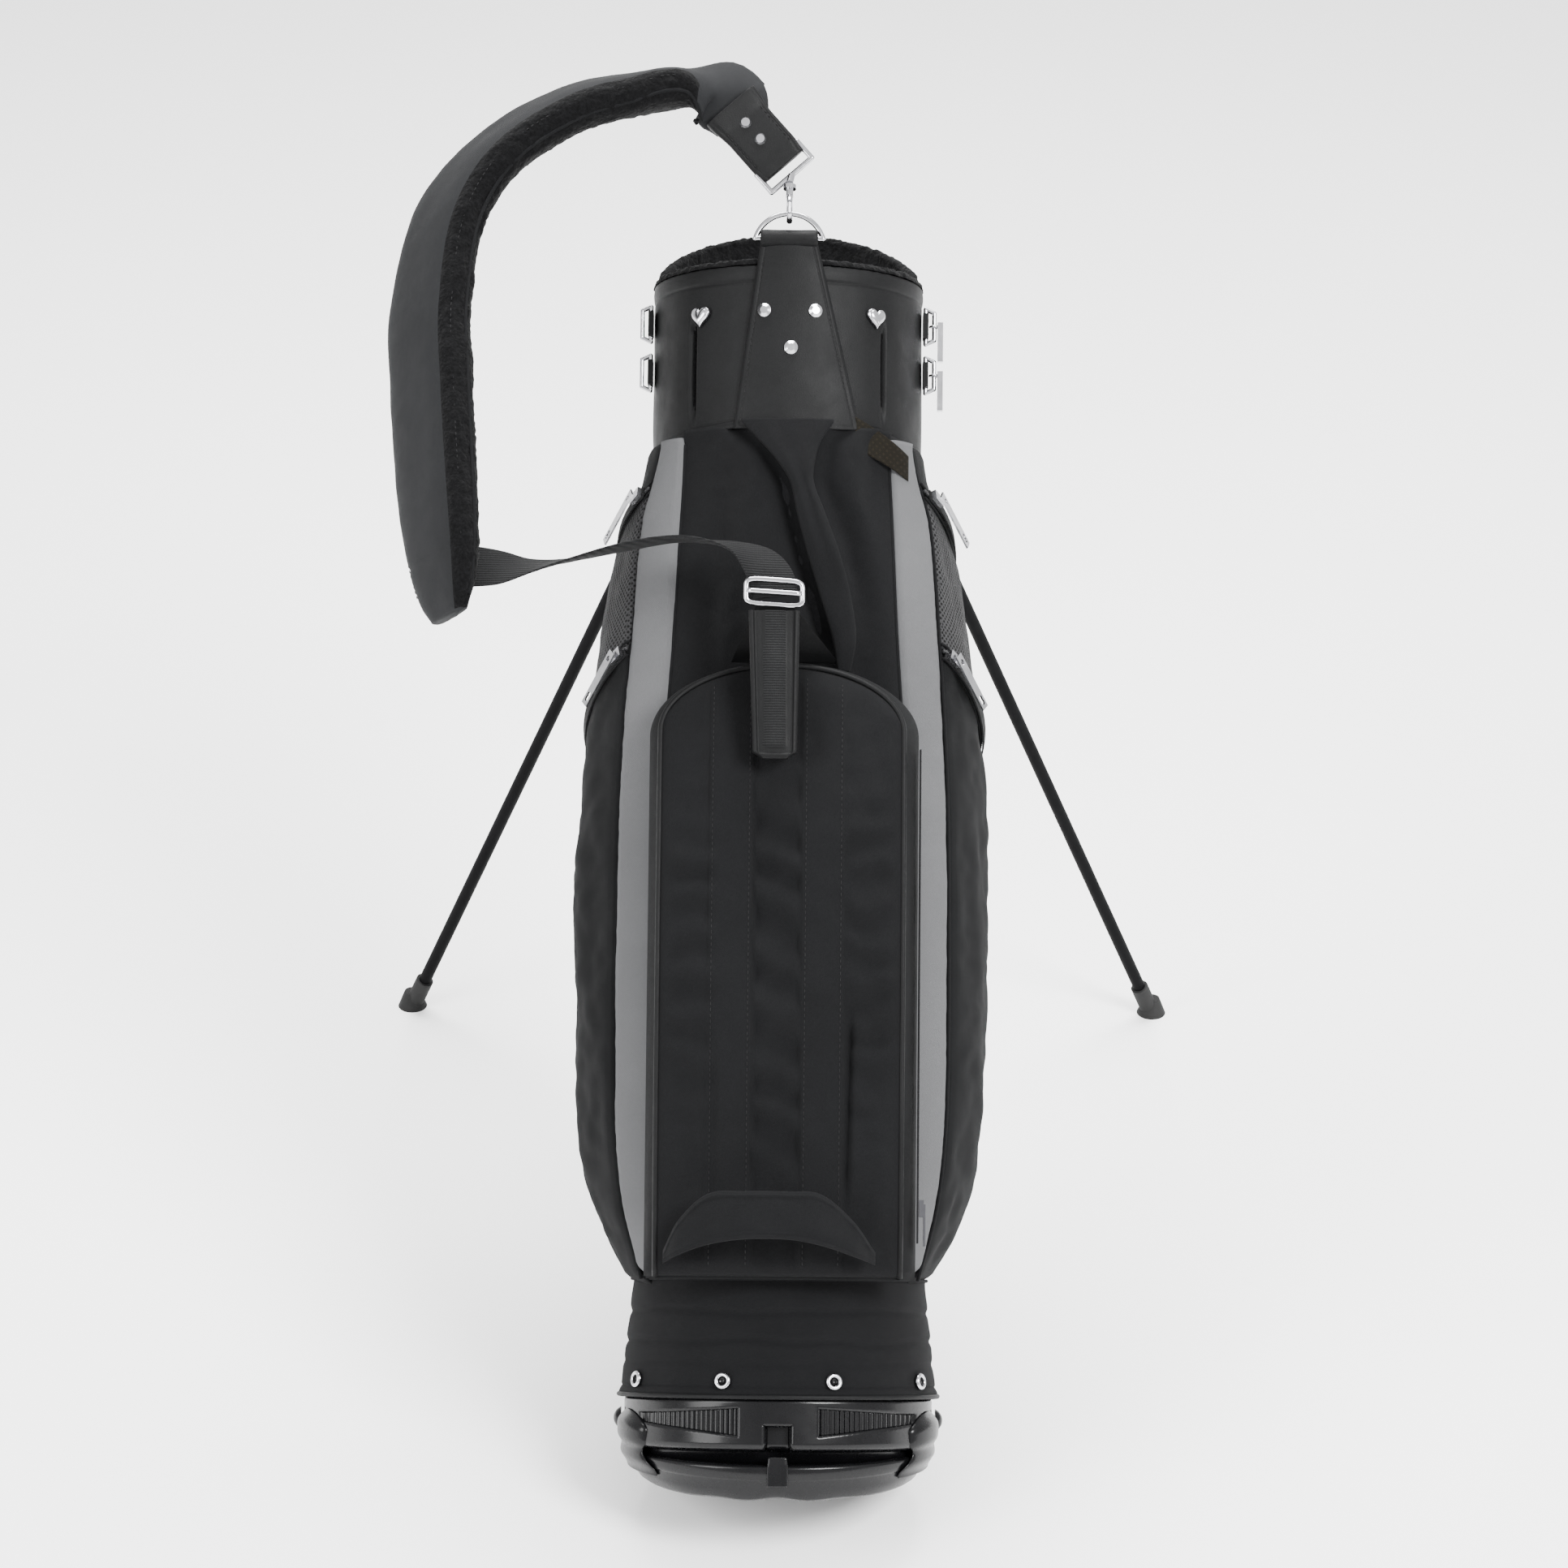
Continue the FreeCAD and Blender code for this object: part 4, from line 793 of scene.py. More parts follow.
def pocket_outline(half, top, steps=70):
    """Places round the pocket's edge, closed along the bottom."""
    side = [(-half, z) for z in np.linspace(POCKET_BOTTOM, POCKET_SHOULDER, steps)]
    arch = [(half * math.sin(a), POCKET_SHOULDER + (top - POCKET_SHOULDER) * math.cos(a))
            for a in np.linspace(-math.pi / 2, math.pi / 2, steps + 20)]
    other = [(half, z) for z in np.linspace(POCKET_SHOULDER, POCKET_BOTTOM, steps)]
    under = [(x, POCKET_BOTTOM) for x in np.linspace(half, -half, POCKET_UNDER_STEPS)]
    return side + arch[1:-1] + other + under[1:]


def pocket_edge_y(x, z):
    return pocket_crown(z) + 5.0 * (x / POCKET_HALF_FRONT) ** 2 + 5.0


def ball_pocket():
    def front(u, v):
        x = POCKET_HALF_FRONT * (2 * v - 1)
        top = pocket_top(x, POCKET_HALF_FRONT, POCKET_TOP)
        z = POCKET_BOTTOM + (top - POCKET_BOTTOM) * u
        return pocket_front_point(x, z)
    face = sheet_piece("ball_pocket_front", front, 300, 170, 1.6)
    dress(face, NYLON, "bag", "black_nylon", "ball_pocket")

    near = pocket_outline(POCKET_HALF_FRONT, POCKET_TOP)
    far = pocket_outline(POCKET_HALF_BACK, POCKET_TOP + 2)

    def gusset(u, v):
        i = int(round(u * (len(near) - 1)))
        x0, z0 = near[i]
        x1, z1 = far[i]
        y0 = pocket_edge_y(x0, z0)
        x, z = x0 + (x1 - x0) * v, z0 + (z1 - z0) * v
        out = Vector((x, 0, max(z - POCKET_SHOULDER, 0.0)))
        out = out.normalized() if out.length > 1 and z > POCKET_BOTTOM + 1 else Vector((0, 0, 0))
        puff = (1.8 + 0.8 * wobble((x * 0.3, v * 30, z * 0.5), 20.0, 4.0)) * math.sin(math.pi * v)
        shift = POCKET_SHIFT * (1 - v)
        return (x + out.x * puff + shift, y0 + (POCKET_BACK_Y - y0) * v, z + out.z * puff)
    sides = sheet_piece("ball_pocket_gusset", gusset, len(near), 16, 1.6)
    dress(sides, NYLON_SIDE, "bag", "black_nylon")

    def rim(scale, lift, back):
        line = []
        for x, z in near[:1 - POCKET_UNDER_STEPS]:
            up = lift if z > POCKET_SHOULDER else 0.0
            line.append((x * scale + POCKET_SHIFT, pocket_edge_y(x, z) + back, z + up))
        return line
    dress(pipe_piece("ball_pocket_piping", rim(1.006, 1.2, -1.2), 2.0), LEATHER, "bag",
          "black_leather")
    dress(pipe_piece("ball_pocket_seam", rim(1.03, 3.0, 7.0), 1.0), NYLON, "bag", "black_nylon")
    for x, label in ((-47.8, "a"), (-22.2, "b"), (17.2, "c"), (41.8, "d")):
        line = []
        for z in np.linspace(POCKET_BOTTOM + 8,
                             pocket_top(x, POCKET_HALF_FRONT, POCKET_TOP) - 8, 150):
            p = pocket_front_point(x, z)
            line.append((p[0], p[1] - 0.1, p[2]))
        dress(stitch_piece("pocket_band_stitch_" + label, line), THREAD, "bag", "black_webbing")


# ---- base ---------------------------------------------------------------------------


def oval_point(half_x, half_y, turn, z):
    return (half_x * math.sin(turn), -half_y * math.cos(turn), z)


def ground_level(y):
    """Height of the ground below a depth, in the bag's frame."""
    return 34.241 + (y - 89.154) * math.tan(LEAN)


def base_cuff():
    def place(u, v):
        z = BASE_CUFF_BOTTOM + (BASE_CUFF_TOP - BASE_CUFF_BOTTOM) * u
        turn = 2 * math.pi * v
        half_x = np.interp(z, [70, 149], [113.4, 105.0])
        half_y = np.interp(z, [70, 149], [102.3, 99.2])
        calm = smooth_step(0.03, 0.2, u)
        fold = 0.0
        for level, sway, deep in ((128.0, 3.0, 1.3), (107.0, 4.5, 1.6), (92.0, 2.5, 0.9)):
            drift = sway * wobble((math.sin(turn) * 2.2, math.cos(turn) * 2.2, 0), 1.0, level)
            fold -= deep * bell(z - level - drift, 2.6)
        here = (half_x * math.sin(turn) * 0.5, half_y * math.cos(turn) * 0.5, z * 1.7)
        slack = calm * (1.1 * wobble(here, 28.0, 2.0) + fold)
        hem = 1.2 * bell(z - 71.0, 2.4) - 0.9 * bell(z - 75.5, 0.8)
        bulge = slack + hem - 0.6
        return oval_point(half_x + bulge, half_y + bulge, turn, z)
    obj = sheet_piece("base_cuff_cloth", place, 90, 240, 1.8, closed_cols=True)
    dress(obj, NYLON, "bag", "black_nylon", "base_cuff")
    stretched(obj, 680.0, "cup_band_skin")
    turns = np.linspace(0, 2 * math.pi, 181)[:-1]
    ring = [oval_point(113.8, 102.7, a, 69.0) for a in turns]
    dress(pipe_piece("base_cuff_piping", ring, 1.7, closed=True), LEATHER, "bag", "black_leather")
    top = [oval_point(105.4, 99.6, a, 150.8) for a in turns]
    dress(pipe_piece("base_cuff_top_edge", top, 1.2, closed=True), NYLON, "bag", "black_nylon")
    for number, degrees in enumerate((20, 62, 118, 155, 205, 242, 298, 340)):
        eyelet(f"base_eyelet_{number}", math.radians(degrees))


def eyelet(name, turn):
    """Turned ring with a sunk middle, set in the base cuff."""
    centre = Vector(oval_point(EYELET_HALF_X, EYELET_HALF_Y, turn, EYELET_Z))
    out = Vector((centre.x / EYELET_HALF_X ** 2, centre.y / EYELET_HALF_Y ** 2, 0.0)).normalized()
    up = (Vector((0, 0, 1)) - out * 0.1).normalized()
    side = up.cross(out).normalized()
    rows = [(6.0, -0.6), (5.9, 0.9), (5.2, 1.9), (4.2, 2.2), (3.2, 1.6), (2.7, 0.4), (2.5, -0.5)]

    def place(u, v):
        radius, lift = rows[int(round(u * (len(rows) - 1)))]
        a = 2 * math.pi * v
        p = centre + (side * math.cos(a) + up * math.sin(a)) * radius + out * lift
        return tuple(p)
    obj = loop_piece(name, place, len(rows), EYELET_SIDES)
    dress(obj, CHROME, "bag", "chrome", *(["base_cuff_snaps"] if name.endswith("_0") else []))
    obj.data.materials.append(GLOSS)
    for polygon in obj.data.polygons[EYELET_SIDES * 4:]:
        polygon.material_index = 1


def window_depth(x, z):
    """Long tapering windows of the cup's band, with fine ridges, and its front notch."""
    along = (abs(x) - 27.0) / (97.0 - 27.0)
    depth = 0.0
    if 0.0 < along < 1.0:
        half = 11.0 - 6.5 * along
        inside = falls(half - 1.0, half, abs(z - 51.5 - 2.0 * along))
        inside *= smooth_step(0.0, 0.02, along) * falls(0.97, 1.0, along)
        ridge = 0.5 + 0.5 * math.sin(2 * math.pi * x / 3.4)
        depth += inside * (2.6 - 1.1 * ridge)
    notch = falls(9.6, 10.4, abs(x)) * falls(49.0, 50.5, z)
    return max(depth, 9.0 * notch)


def cup_band():
    # height, half width, half depth, shift back
    rows = np.array([(68.0, 105.5, 95.5, 0.0), (66.8, 107.6, 97.6, 0.0), (65.0, 108.2, 98.2, 0.0),
                     (36.5, 108.0, 98.0, 0.0), (34.6, 107.2, 97.0, 0.0), (33.6, 105.0, 94.0, -0.5),
                     (33.0, 100.0, 76.0, -6.5), (31.0, 99.5, 73.3, -7.5), (20.0, 92.5, 68.4, -7.5)])
    levels = np.concatenate([[68.0, 66.8], np.linspace(65.5, 36.5, 62),
                             [34.6, 33.6, 33.0, 31.0, 20.0]])

    def place(u, v):
        z = levels[int(round(u * (len(levels) - 1)))]
        turn = 2 * math.pi * v
        half_x, half_y, shift = (np.interp(-z, -rows[:, 0], rows[:, k]) for k in (1, 2, 3))
        x, y = half_x * math.sin(turn), shift - half_y * math.cos(turn)
        if y < 0 and z > 33.3:
            sunk = window_depth(x, z)
            x, y = x * (1 - sunk / CUP_HALF_X), y * (1 - sunk / CUP_HALF_Y)
        clear = ground_level(y) + 4.0 if y > 20.0 else z
        return (x, y, max(z, clear))
    obj = sheet_piece("cup_band_skin", place, len(levels), 900, 1.6, closed_cols=True)
    dress(obj, GLOSS, "bag", "gloss_black", "base_cup")


def tilted(x, y, z):
    """Place on the foot tray, drawn closed, as it stands when opened."""
    c, s = math.cos(TRAY_OPEN), math.sin(TRAY_OPEN)
    rise = z - TRAY_PIVOT.z
    return (x, y * c - rise * s, TRAY_PIVOT.z + y * s + rise * c)


def tray_shell():
    # half width, half depth, height of the closed tray from its inner lip to its floor
    rows = [(88.0, 79.0, 28.0), (91.0, 82.0, 29.6), (99.0, 89.5, 30.2), (104.5, 94.0, 30.6),
            (106.8, 95.8, 29.6), (107.2, 96.2, 28.0), (106.0, 95.2, 26.4), (105.2, 94.4, 26.0),
            (104.6, 93.8, 25.2), (102.5, 91.8, 21.0), (100.0, 89.0, 17.0), (97.5, 86.5, 15.3),
            (94.0, 83.0, 14.8), (80.0, 70.0, 14.8)]

    def place(u, v):
        step = int(round(u * (len(rows) - 1)))
        half_x, half_y, z = rows[step]
        turn = 2 * math.pi * v
        x, y = half_x * math.sin(turn), -half_y * math.cos(turn)
        front = max(math.cos(turn), 0.0) ** 0.7
        low = smooth_step(26.0, 16.0, z) if z < 26.0 else 0.0
        wave = 6.0 * front - 3.0 * bell(x, 15.0)
        wave -= 1.2 * bell(abs(x) - 42.0, 14.0)
        z += 6.0 * front * smooth_step(26.0, 28.0, z) - wave * (front > 0) * low
        px, py, pz = tilted(x, y, z)
        return (px, py, max(pz, ground_level(py) + 0.05))
    obj = loop_piece("tray_skin", place, len(rows), 360)
    dress(obj, GLOSS, "foot_tray", "gloss_black", "foot_tray")

    def tab(u, v):
        z = 22.0 + 21.0 * u
        c, s = way_round(v)
        round_off = 1 - 0.35 * smooth_step(0.7, 1.0, u)
        x = boxy(c, 0.35) * 7.4 * (1 - 0.12 * smooth_step(0.6, 1.0, u))
        return tilted(x, -95.5 + boxy(s, 0.5) * 2.6 * round_off, z)
    dress(loop_piece("tray_front_tab", tab, 16, 40), GLOSS, "foot_tray", "gloss_black")
    for sign, hand in ((1, "right"), (-1, "left")):
        def ear(u, v, sign=sign):
            z = 21.0 + 43.0 * u
            a = 2 * math.pi * v
            ball = bell(z - 50.0, 9.5, 4)
            rounding = math.sqrt(max(1 - max((z - 52.0) / 12.0, 0.0) ** 2, 0.004))
            half_turn = (13.0 + 2.0 * ball + 15.0 * falls(24.0, 40.0, z)) * rounding
            thick = (3.2 + 4.4 * ball) * rounding
            turn = math.radians(72.0 + half_turn * math.cos(a) + 10.0 * falls(24.0, 44.0, z))
            reach = 1.5 + thick * math.sin(a) - 5.0 * falls(21.0, 32.0, z)
            x, y = (CUP_HALF_X + reach) * math.sin(turn), (CUP_HALF_Y + reach) * math.cos(turn)
            return tilted(sign * x, -y, z)
        dress(loop_piece(f"{hand}_tray_ear", ear, 60, 56), GLOSS, "foot_tray", "gloss_black")


# ---- top cuff -----------------------------------------------------------------------


def rim_height(turn):
    """Height of the rim: level in front, rising to the back."""
    back = max(-CUFF_R * math.cos(turn), 0.0)
    return 871.0 + 0.585 * back * smooth_step(0.0, 30.0, back)


def slit_depth(degrees):
    """The overlaps of the leather beside the studs."""
    depth = 0.0
    for centre, hand, deep, wide in ((-42.5, -1, 7.0, 4.2), (43.5, 1, 6.0, 2.8)):
        offset = (degrees - centre) * hand
        depth += deep * smooth_step(-0.4, 0.4, offset) * falls(wide * 0.4, wide, offset)
    return depth


def top_cuff():
    def place(u, v):
        turn = 2 * math.pi * v
        degrees = math.degrees(turn) if turn < math.pi else math.degrees(turn) - 360.0
        bottom = 743.0 + 11.0 * max(math.cos(turn), 0.0) ** 2
        top = rim_height(turn) - 1.5
        z = bottom + (top - bottom) * u
        x, y = math.sin(turn), -math.cos(turn)
        opening = bell(u - 0.42, 0.26, 4)
        r = CUFF_R - 0.4 - slit_depth(degrees) * opening
        r += (0.9 * wobble((degrees * 1.7, 0, z * 0.45), 30.0, 1.0)
              * smooth_step(0.02, 0.2, min(u, 1 - u)))
        r -= 1.0 * bell(top - z - 11.5, 0.9)
        r += 0.8 * bell(top - z - 5.0, 5.0)
        r += 1.1 * bell(z - bottom - 2.2, 2.4)
        r -= 0.9 * bell(z - bottom - 6.0, 0.8)
        return (r * x, r * y, z)
    obj = sheet_piece("cuff_leather", place, 130, 540, 2.0, closed_cols=True)
    dress(obj, LEATHER, "bag", "black_leather", "cuff_shell")
    # Faces sunk more than 3.2 mm into the cuff are the slits; they get the near-black fleece
    # material as painted shade in the slits.
    obj.data.materials.append(FLEECE)
    for polygon in obj.data.polygons:
        middle = BAG.inverted() @ polygon.center
        if math.hypot(middle.x, middle.y) < CUFF_R - 3.2:
            polygon.material_index = 1

    def fur(u, v):
        turn = 2 * math.pi * v
        top = rim_height(turn)
        x, y = math.sin(turn), -math.cos(turn)
        here = (x * 95, y * 95, u * 40)
        tuft = 1.5 * abs(wobble(here, 7.0, 1.0)) + 1.0 * abs(wobble(here, 3.0, 3.0))
        if u < 0.35:
            a = math.pi * u / 0.35
            reach = 3.2 + tuft
            r = 94.6 + reach * math.cos(a)
            return (r * x, r * y, top - 0.6 + reach * 1.15 * math.sin(a))
        down = (u - 0.35) / 0.65
        r = 91.6 - tuft
        return (r * x, r * y, top - 0.6 - down * (top - 803.0))
    lining = sheet_piece("rim_fleece", fur, 60, 480, 0.8, closed_cols=True)
    dress(lining, FLEECE, "bag", "black_fleece", "cuff_fur_lining")
    for sign, hand in ((-1, "left"), (1, "right")):
        puffed_heart(hand + "_heart", sign * 39.2, 835.0, *(["heart_studs"] if sign < 0 else []))


def puffed_heart(name, degrees, height, *replaced):
    """Domed heart-shaped stud with a plain face."""
    turn = math.radians(degrees)
    out = Vector((math.sin(turn), -math.cos(turn), 0))
    side = Vector((math.cos(turn), math.sin(turn), 0))
    centre = out * (CUFF_R + 0.2) + Vector((0, 0, height))

    def place(u, v):
        a = 2 * math.pi * v
        x = 16.0 * math.sin(a) ** 3
        z = (13.0 * math.cos(a) - 5.0 * math.cos(2 * a) - 2.0 * math.cos(3 * a)
             - math.cos(4 * a) + 2.0)
        share = 1.0 - u
        lift = 1.2 + 3.4 * math.sqrt(max(1 - share ** 2.6, 0.0)) if u > 0 else 0.0
        lift -= 0.5 * bell(share - 0.82, 0.05)
        size = 0.52 * max(share, 0.02)
        bend = 0.5 * (x * size) ** 2 / CUFF_R
        return tuple(centre + side * (x * size) + Vector((0, 0, z * size)) + out * (lift - bend))
    obj = loop_piece(name, place, 22, 96)
    dress(obj, CHROME, "bag", "chrome", *replaced)


TAB_LOW, TAB_HIGH = 750.5, 885.0


def tab_sides(z):
    """Left and right edges of the front tab at a height."""
    share = (z - TAB_LOW) / (TAB_HIGH - TAB_LOW)
    return -38.5 + 18.0 * share, 52.0 - 31.5 * share


def tab_place(x, z, lift):
    r = CUFF_R + lift
    return (x, -math.sqrt(r * r - x * x), z)


def front_tab():
    """Leather tab over the rim, with a folded loop round the D-ring's bar."""
    def place(u, v):
        z = TAB_LOW + (TAB_HIGH - TAB_LOW) * u
        left, right = tab_sides(z)
        x = left + (right - left) * v
        z += 3.0 * (1 - u) * ((v - 0.45) * 2) ** 2 * 0.6
        inset = min(x - left, right - x, (z - TAB_LOW) + 0.5)
        lift = 3.6 - 1.4 * (1 - smooth_step(0.0, 1.8, inset)) - 0.6 * bell(inset - 4.0, 0.6)
        lift += 0.4 * wobble((x, 0, z), 30.0, 2.0) + 1.2 * smooth_step(870.0, 886.0, z)
        return tab_place(x, z, lift)
    obj = sheet_piece("front_tab_leather", place, 130, 90, 2.6)
    dress(obj, LEATHER, "bag", "black_leather", "front_tab")

    def loop(u, v):
        x = -20.0 + 40.0 * u
        a = 2 * math.pi * v
        r = 4.6 - 0.6 * smooth_step(0.9, 1.0, abs(2 * u - 1)) + 0.25 * wobble((x, 0, a), 9.0, 1.0)
        return (x, -100.0 - r * math.cos(a), 888.0 + r * math.sin(a))
    fold = sheet_piece("front_tab_loop", loop, 30, 32, 1.6, closed_cols=True, turned=False)
    dress(fold, LEATHER, "bag", "black_leather")
    for hand, side, inward in (("left", 0, 1), ("right", 1, -1)):
        line = [tab_place(tab_sides(z)[side] + inward * 4.0, z, 3.1)
                for z in np.linspace(756, 880, 90)]
        dress(stitch_piece(f"tab_stitch_{hand}", line), THREAD, "bag", "black_webbing")
    line = [tab_place(x, 755.5 + 0.0006 * (x - 4) ** 2, 3.1) for x in np.linspace(-33, 46, 60)]
    dress(stitch_piece("tab_stitch_low", line), THREAD, "bag", "black_webbing")


# ---- strap --------------------------------------------------------------------------

# x, height, turn about its own line, width and thickness
PAD_LINE = np.array([
    (-34.0, 975.0, 86.0, 43.0, 9.0), (-41.0, 986.0, 84.0, 55.0, 12.0),
    (-51.0, 997.0, 62.0, 60.0, 20.0), (-74.0, 1001.0, 14.0, 62.0, 28.0),
    (-118.0, 994.0, 16.0, 72.0, 31.0), (-162.0, 981.0, 20.0, 78.0, 32.0),
    (-211.0, 947.0, 24.0, 80.0, 32.0), (-242.0, 900.0, 32.0, 80.0, 32.0),
    (-254.0, 830.0, 38.0, 80.0, 32.0), (-251.0, 770.0, 38.0, 80.0, 32.0),
    (-245.0, 700.0, 38.0, 78.0, 31.0), (-240.0, 655.0, 38.0, 70.0, 28.0),
    (-236.0, 620.0, 38.0, 54.0, 20.0), (-234.0, 607.0, 38.0, 44.0, 14.0)])


def strap_y(z):
    return SWIVEL[1] + (z - SWIVEL[2]) * STRAP_AXIS[1] / STRAP_AXIS[2]


class Route:
    """Smooth middle line through (x, height, ...) rows, in the strap's plane."""

    def __init__(self, rows):
        self.rows = rows
        steps = np.hypot(np.diff(rows[:, 0]), np.diff(rows[:, 1]))
        self.at = np.concatenate([[0.0], np.cumsum(steps)])

    def value(self, u, column):
        return curve_value(self.at, self.rows[:, column], u * self.at[-1])

    def point(self, u):
        z = self.value(u, 1)
        return Vector((self.value(u, 0), strap_y(z), z))

    def frame(self, u, turn):
        """Place, the direction of the width, and the outward direction at a share of the way."""
        step = 0.004
        tangent = (self.point(min(u + step, 1)) - self.point(max(u - step, 0))).normalized()
        depth = (DEPTH - tangent * DEPTH.dot(tangent)).normalized()
        across = Matrix.Rotation(math.radians(turn), 3, tangent) @ depth
        return self.point(u), across, tangent.cross(across)


def pad_point(route, u, angle, grow=0.0):
    """Place on the pad's skin; angle 0 is along its width, 90 degrees is its outer face."""
    centre, across, out = route.frame(u, -route.value(u, 2))
    width, thick = route.value(u, 3) / 2 + grow, route.value(u, 4) / 2 + grow
    end = 1 - smooth_step(0.965, 1.03, u) * 0.6
    c, s = math.cos(angle), math.sin(angle)
    a = boxy(c, 0.55) * width * (0.55 + 0.45 * end)
    b = boxy(s, 0.75) * thick * (0.35 + 0.65 * end)
    return centre + across * a + out * b


def pad_skin(u, v, route):
    angle = 2 * math.pi * v
    p = pad_point(route, u, angle)
    centre = route.point(u)
    if 0.15 < angle < math.radians(FLEECE_TO) and u > 0.07:
        tuft = (1.9 * abs(wobble(p, 7.0, 2.0)) + 1.2 * abs(wobble(p, 3.2, 5.0))
                + 1.5 * wobble(p, 30.0, 1.0))
    else:
        tuft = 1.2 * wobble(p, 42.0, 3.0) + 0.4 * wobble(p, 12.0, 4.0)
        tuft -= 0.9 * bell(u - 0.925, 0.004)
    return p + (p - centre).normalized() * tuft * smooth_step(0.0, 0.05, u)


def shoulder_pad():
    route = Route(PAD_LINE)
    rows, cols = 190, 84
    pad = loop_piece("shoulder_pad_skin", lambda u, v: pad_skin(u, v, route), rows, cols)
    pad.data.materials.append(PAD_COVER)
    pad.data.materials.append(FLEECE)
    for polygon in pad.data.polygons:
        if polygon.index < (rows - 1) * cols and polygon.index // cols > rows * 0.07:
            angle = 360.0 * ((polygon.index % cols) + 0.5) / cols
            polygon.material_index = 1 if FLEECE_FROM < angle < FLEECE_TO else 0
    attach(pad, "strap")
    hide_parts("shoulder_pad")
    for angle, label in ((math.radians(8), "front"), (math.radians(172), "back")):
        line = [pad_point(route, u, angle, 0.4) for u in np.linspace(0.03, 0.985, 150)]
        dress(pipe_piece(f"pad_piping_{label}", line, 1.3), NYLON, "strap", "black_nylon")
    for angle, label in ((math.radians(-22), "front"), (math.radians(-158), "back")):
        line = [pad_point(route, u, angle, 0.3) for u in np.linspace(0.1, 0.96, 220)]
        dress(stitch_piece(f"pad_stitch_{label}", line), THREAD, "strap", "black_webbing")


# x, height, turn of the width from depthwise to crosswise, half width
WEBBING_LINE = np.array([
    (-222.0, 643.0, 62.0, 18.0), (-200.0, 642.0, 50.0, 17.5), (-178.0, 643.0, 24.0, 17.0),
    (-150.0, 648.0, 8.0, 17.0), (-112.0, 657.0, 0.0, 17.0), (-78.0, 663.0, 2.0, 16.0),
    (-54.0, 662.0, 8.0, 16.0), (-34.0, 657.5, 24.0, 16.0), (-18.0, 647.0, 58.0, 16.0),
    (-9.5, 634.0, 84.0, 16.0), (-8.0, 623.0, 90.0, 16.0)])


def strap_webbing():
    route = Route(WEBBING_LINE)

    def place(u, v):
        middle, across, out = route.frame(u, route.value(u, 2))
        c, s = way_round(v)
        half = route.value(u, 3)
        w = boxy(c, 0.3) * half
        t = boxy(s, 0.5) * (1.3 - 0.25 * abs(w) / 18)
        cup = 1.6 * (w / half) ** 2
        return middle + across * w + out * (t + cup * math.sin(math.pi * u))
    obj = loop_piece("strap_webbing_band", place, 120, 40)
    obj.data.materials.append(WEBBING)
    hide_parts("strap_webbing")
    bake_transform(obj)


def tail_loop():
    """Doubled end of the webbing hanging from the buckle; its rolled edges keep the darker leather
    as painted shade, and its middle is lighter webbing.
    """
    def place(u, v):
        z = TAIL_TOP - TAIL_LENGTH * u
        c, s = way_round(v)
        half = (17.8 - 2.2 * u) * (1 - 0.42 * smooth_step(0.95, 1.0, u))
        thick = 3.4 + 3.0 * smooth_step(0.0, 0.4, u) * (1 - 0.6 * smooth_step(0.95, 1.0, u))
        x = boxy(c, 0.4) * half
        rim_gap = min(half - abs(x), (1 - u) * TAIL_LENGTH)
        groove = 2.4 * smooth_step(2.6, 4.4, rim_gap) if s < 0 else 0.0
        raised = (1.5 * falls(6.6, 7.6, abs(x)) * (s < 0)
                  * smooth_step(7.0, 9.0, (1 - u) * TAIL_LENGTH))
        y = -154.0 - 1.4 * u + boxy(s, 0.5) * thick + groove - raised
        return (x - 8.0 + 1.5 * u, y + 0.4 * wobble((x, 0, z), 18.0, 2.0), z)
    obj = loop_piece("tail_loop_band", place, 130, 88)
    obj.data.materials.append(LEATHER)
    obj.data.materials.append(WEBBING)
    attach(obj, "bag")
    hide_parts("strap_tail_loop")
    # The rolled edges keep the darker leather and the recessed middle gets the lighter webbing:
    # painted shade on the edges.
    for polygon in obj.data.polygons:
        middle = BAG.inverted() @ polygon.center
        if abs(middle.x + 7.0) < 7.6 and middle.z > 517.0:
            polygon.material_index = 1


def tri_glide():
    """Rounded three-bar buckle on the webbing."""
    centre = Vector((BUCKLE[0] - 8.0, BUCKLE[1] - 3.0, BUCKLE[2] - 6.0))

    def corner_ring():
        points = []
        for step in range(64):
            a = 2 * math.pi * step / 64
            c, s = math.cos(a), math.sin(a)
            x = 19.5 * boxy(c, 0.35)
            z = 8.6 * boxy(s, 0.35)
            points.append(centre + Vector((x, -1.0 - 0.6 * s, z - 0.06 * x)))
        return points
    ring = pipe_piece("glide_frame", corner_ring(), 1.9, 14, closed=True)
    dress(ring, CHROME, "bag", "chrome", "tri_glide")
    bar = [centre + Vector((x, -2.4, -0.06 * x)) for x in np.linspace(-18.5, 18.5, 12)]
    dress(pipe_piece("glide_bar", bar, 1.8, 14), CHROME, "bag", "chrome")


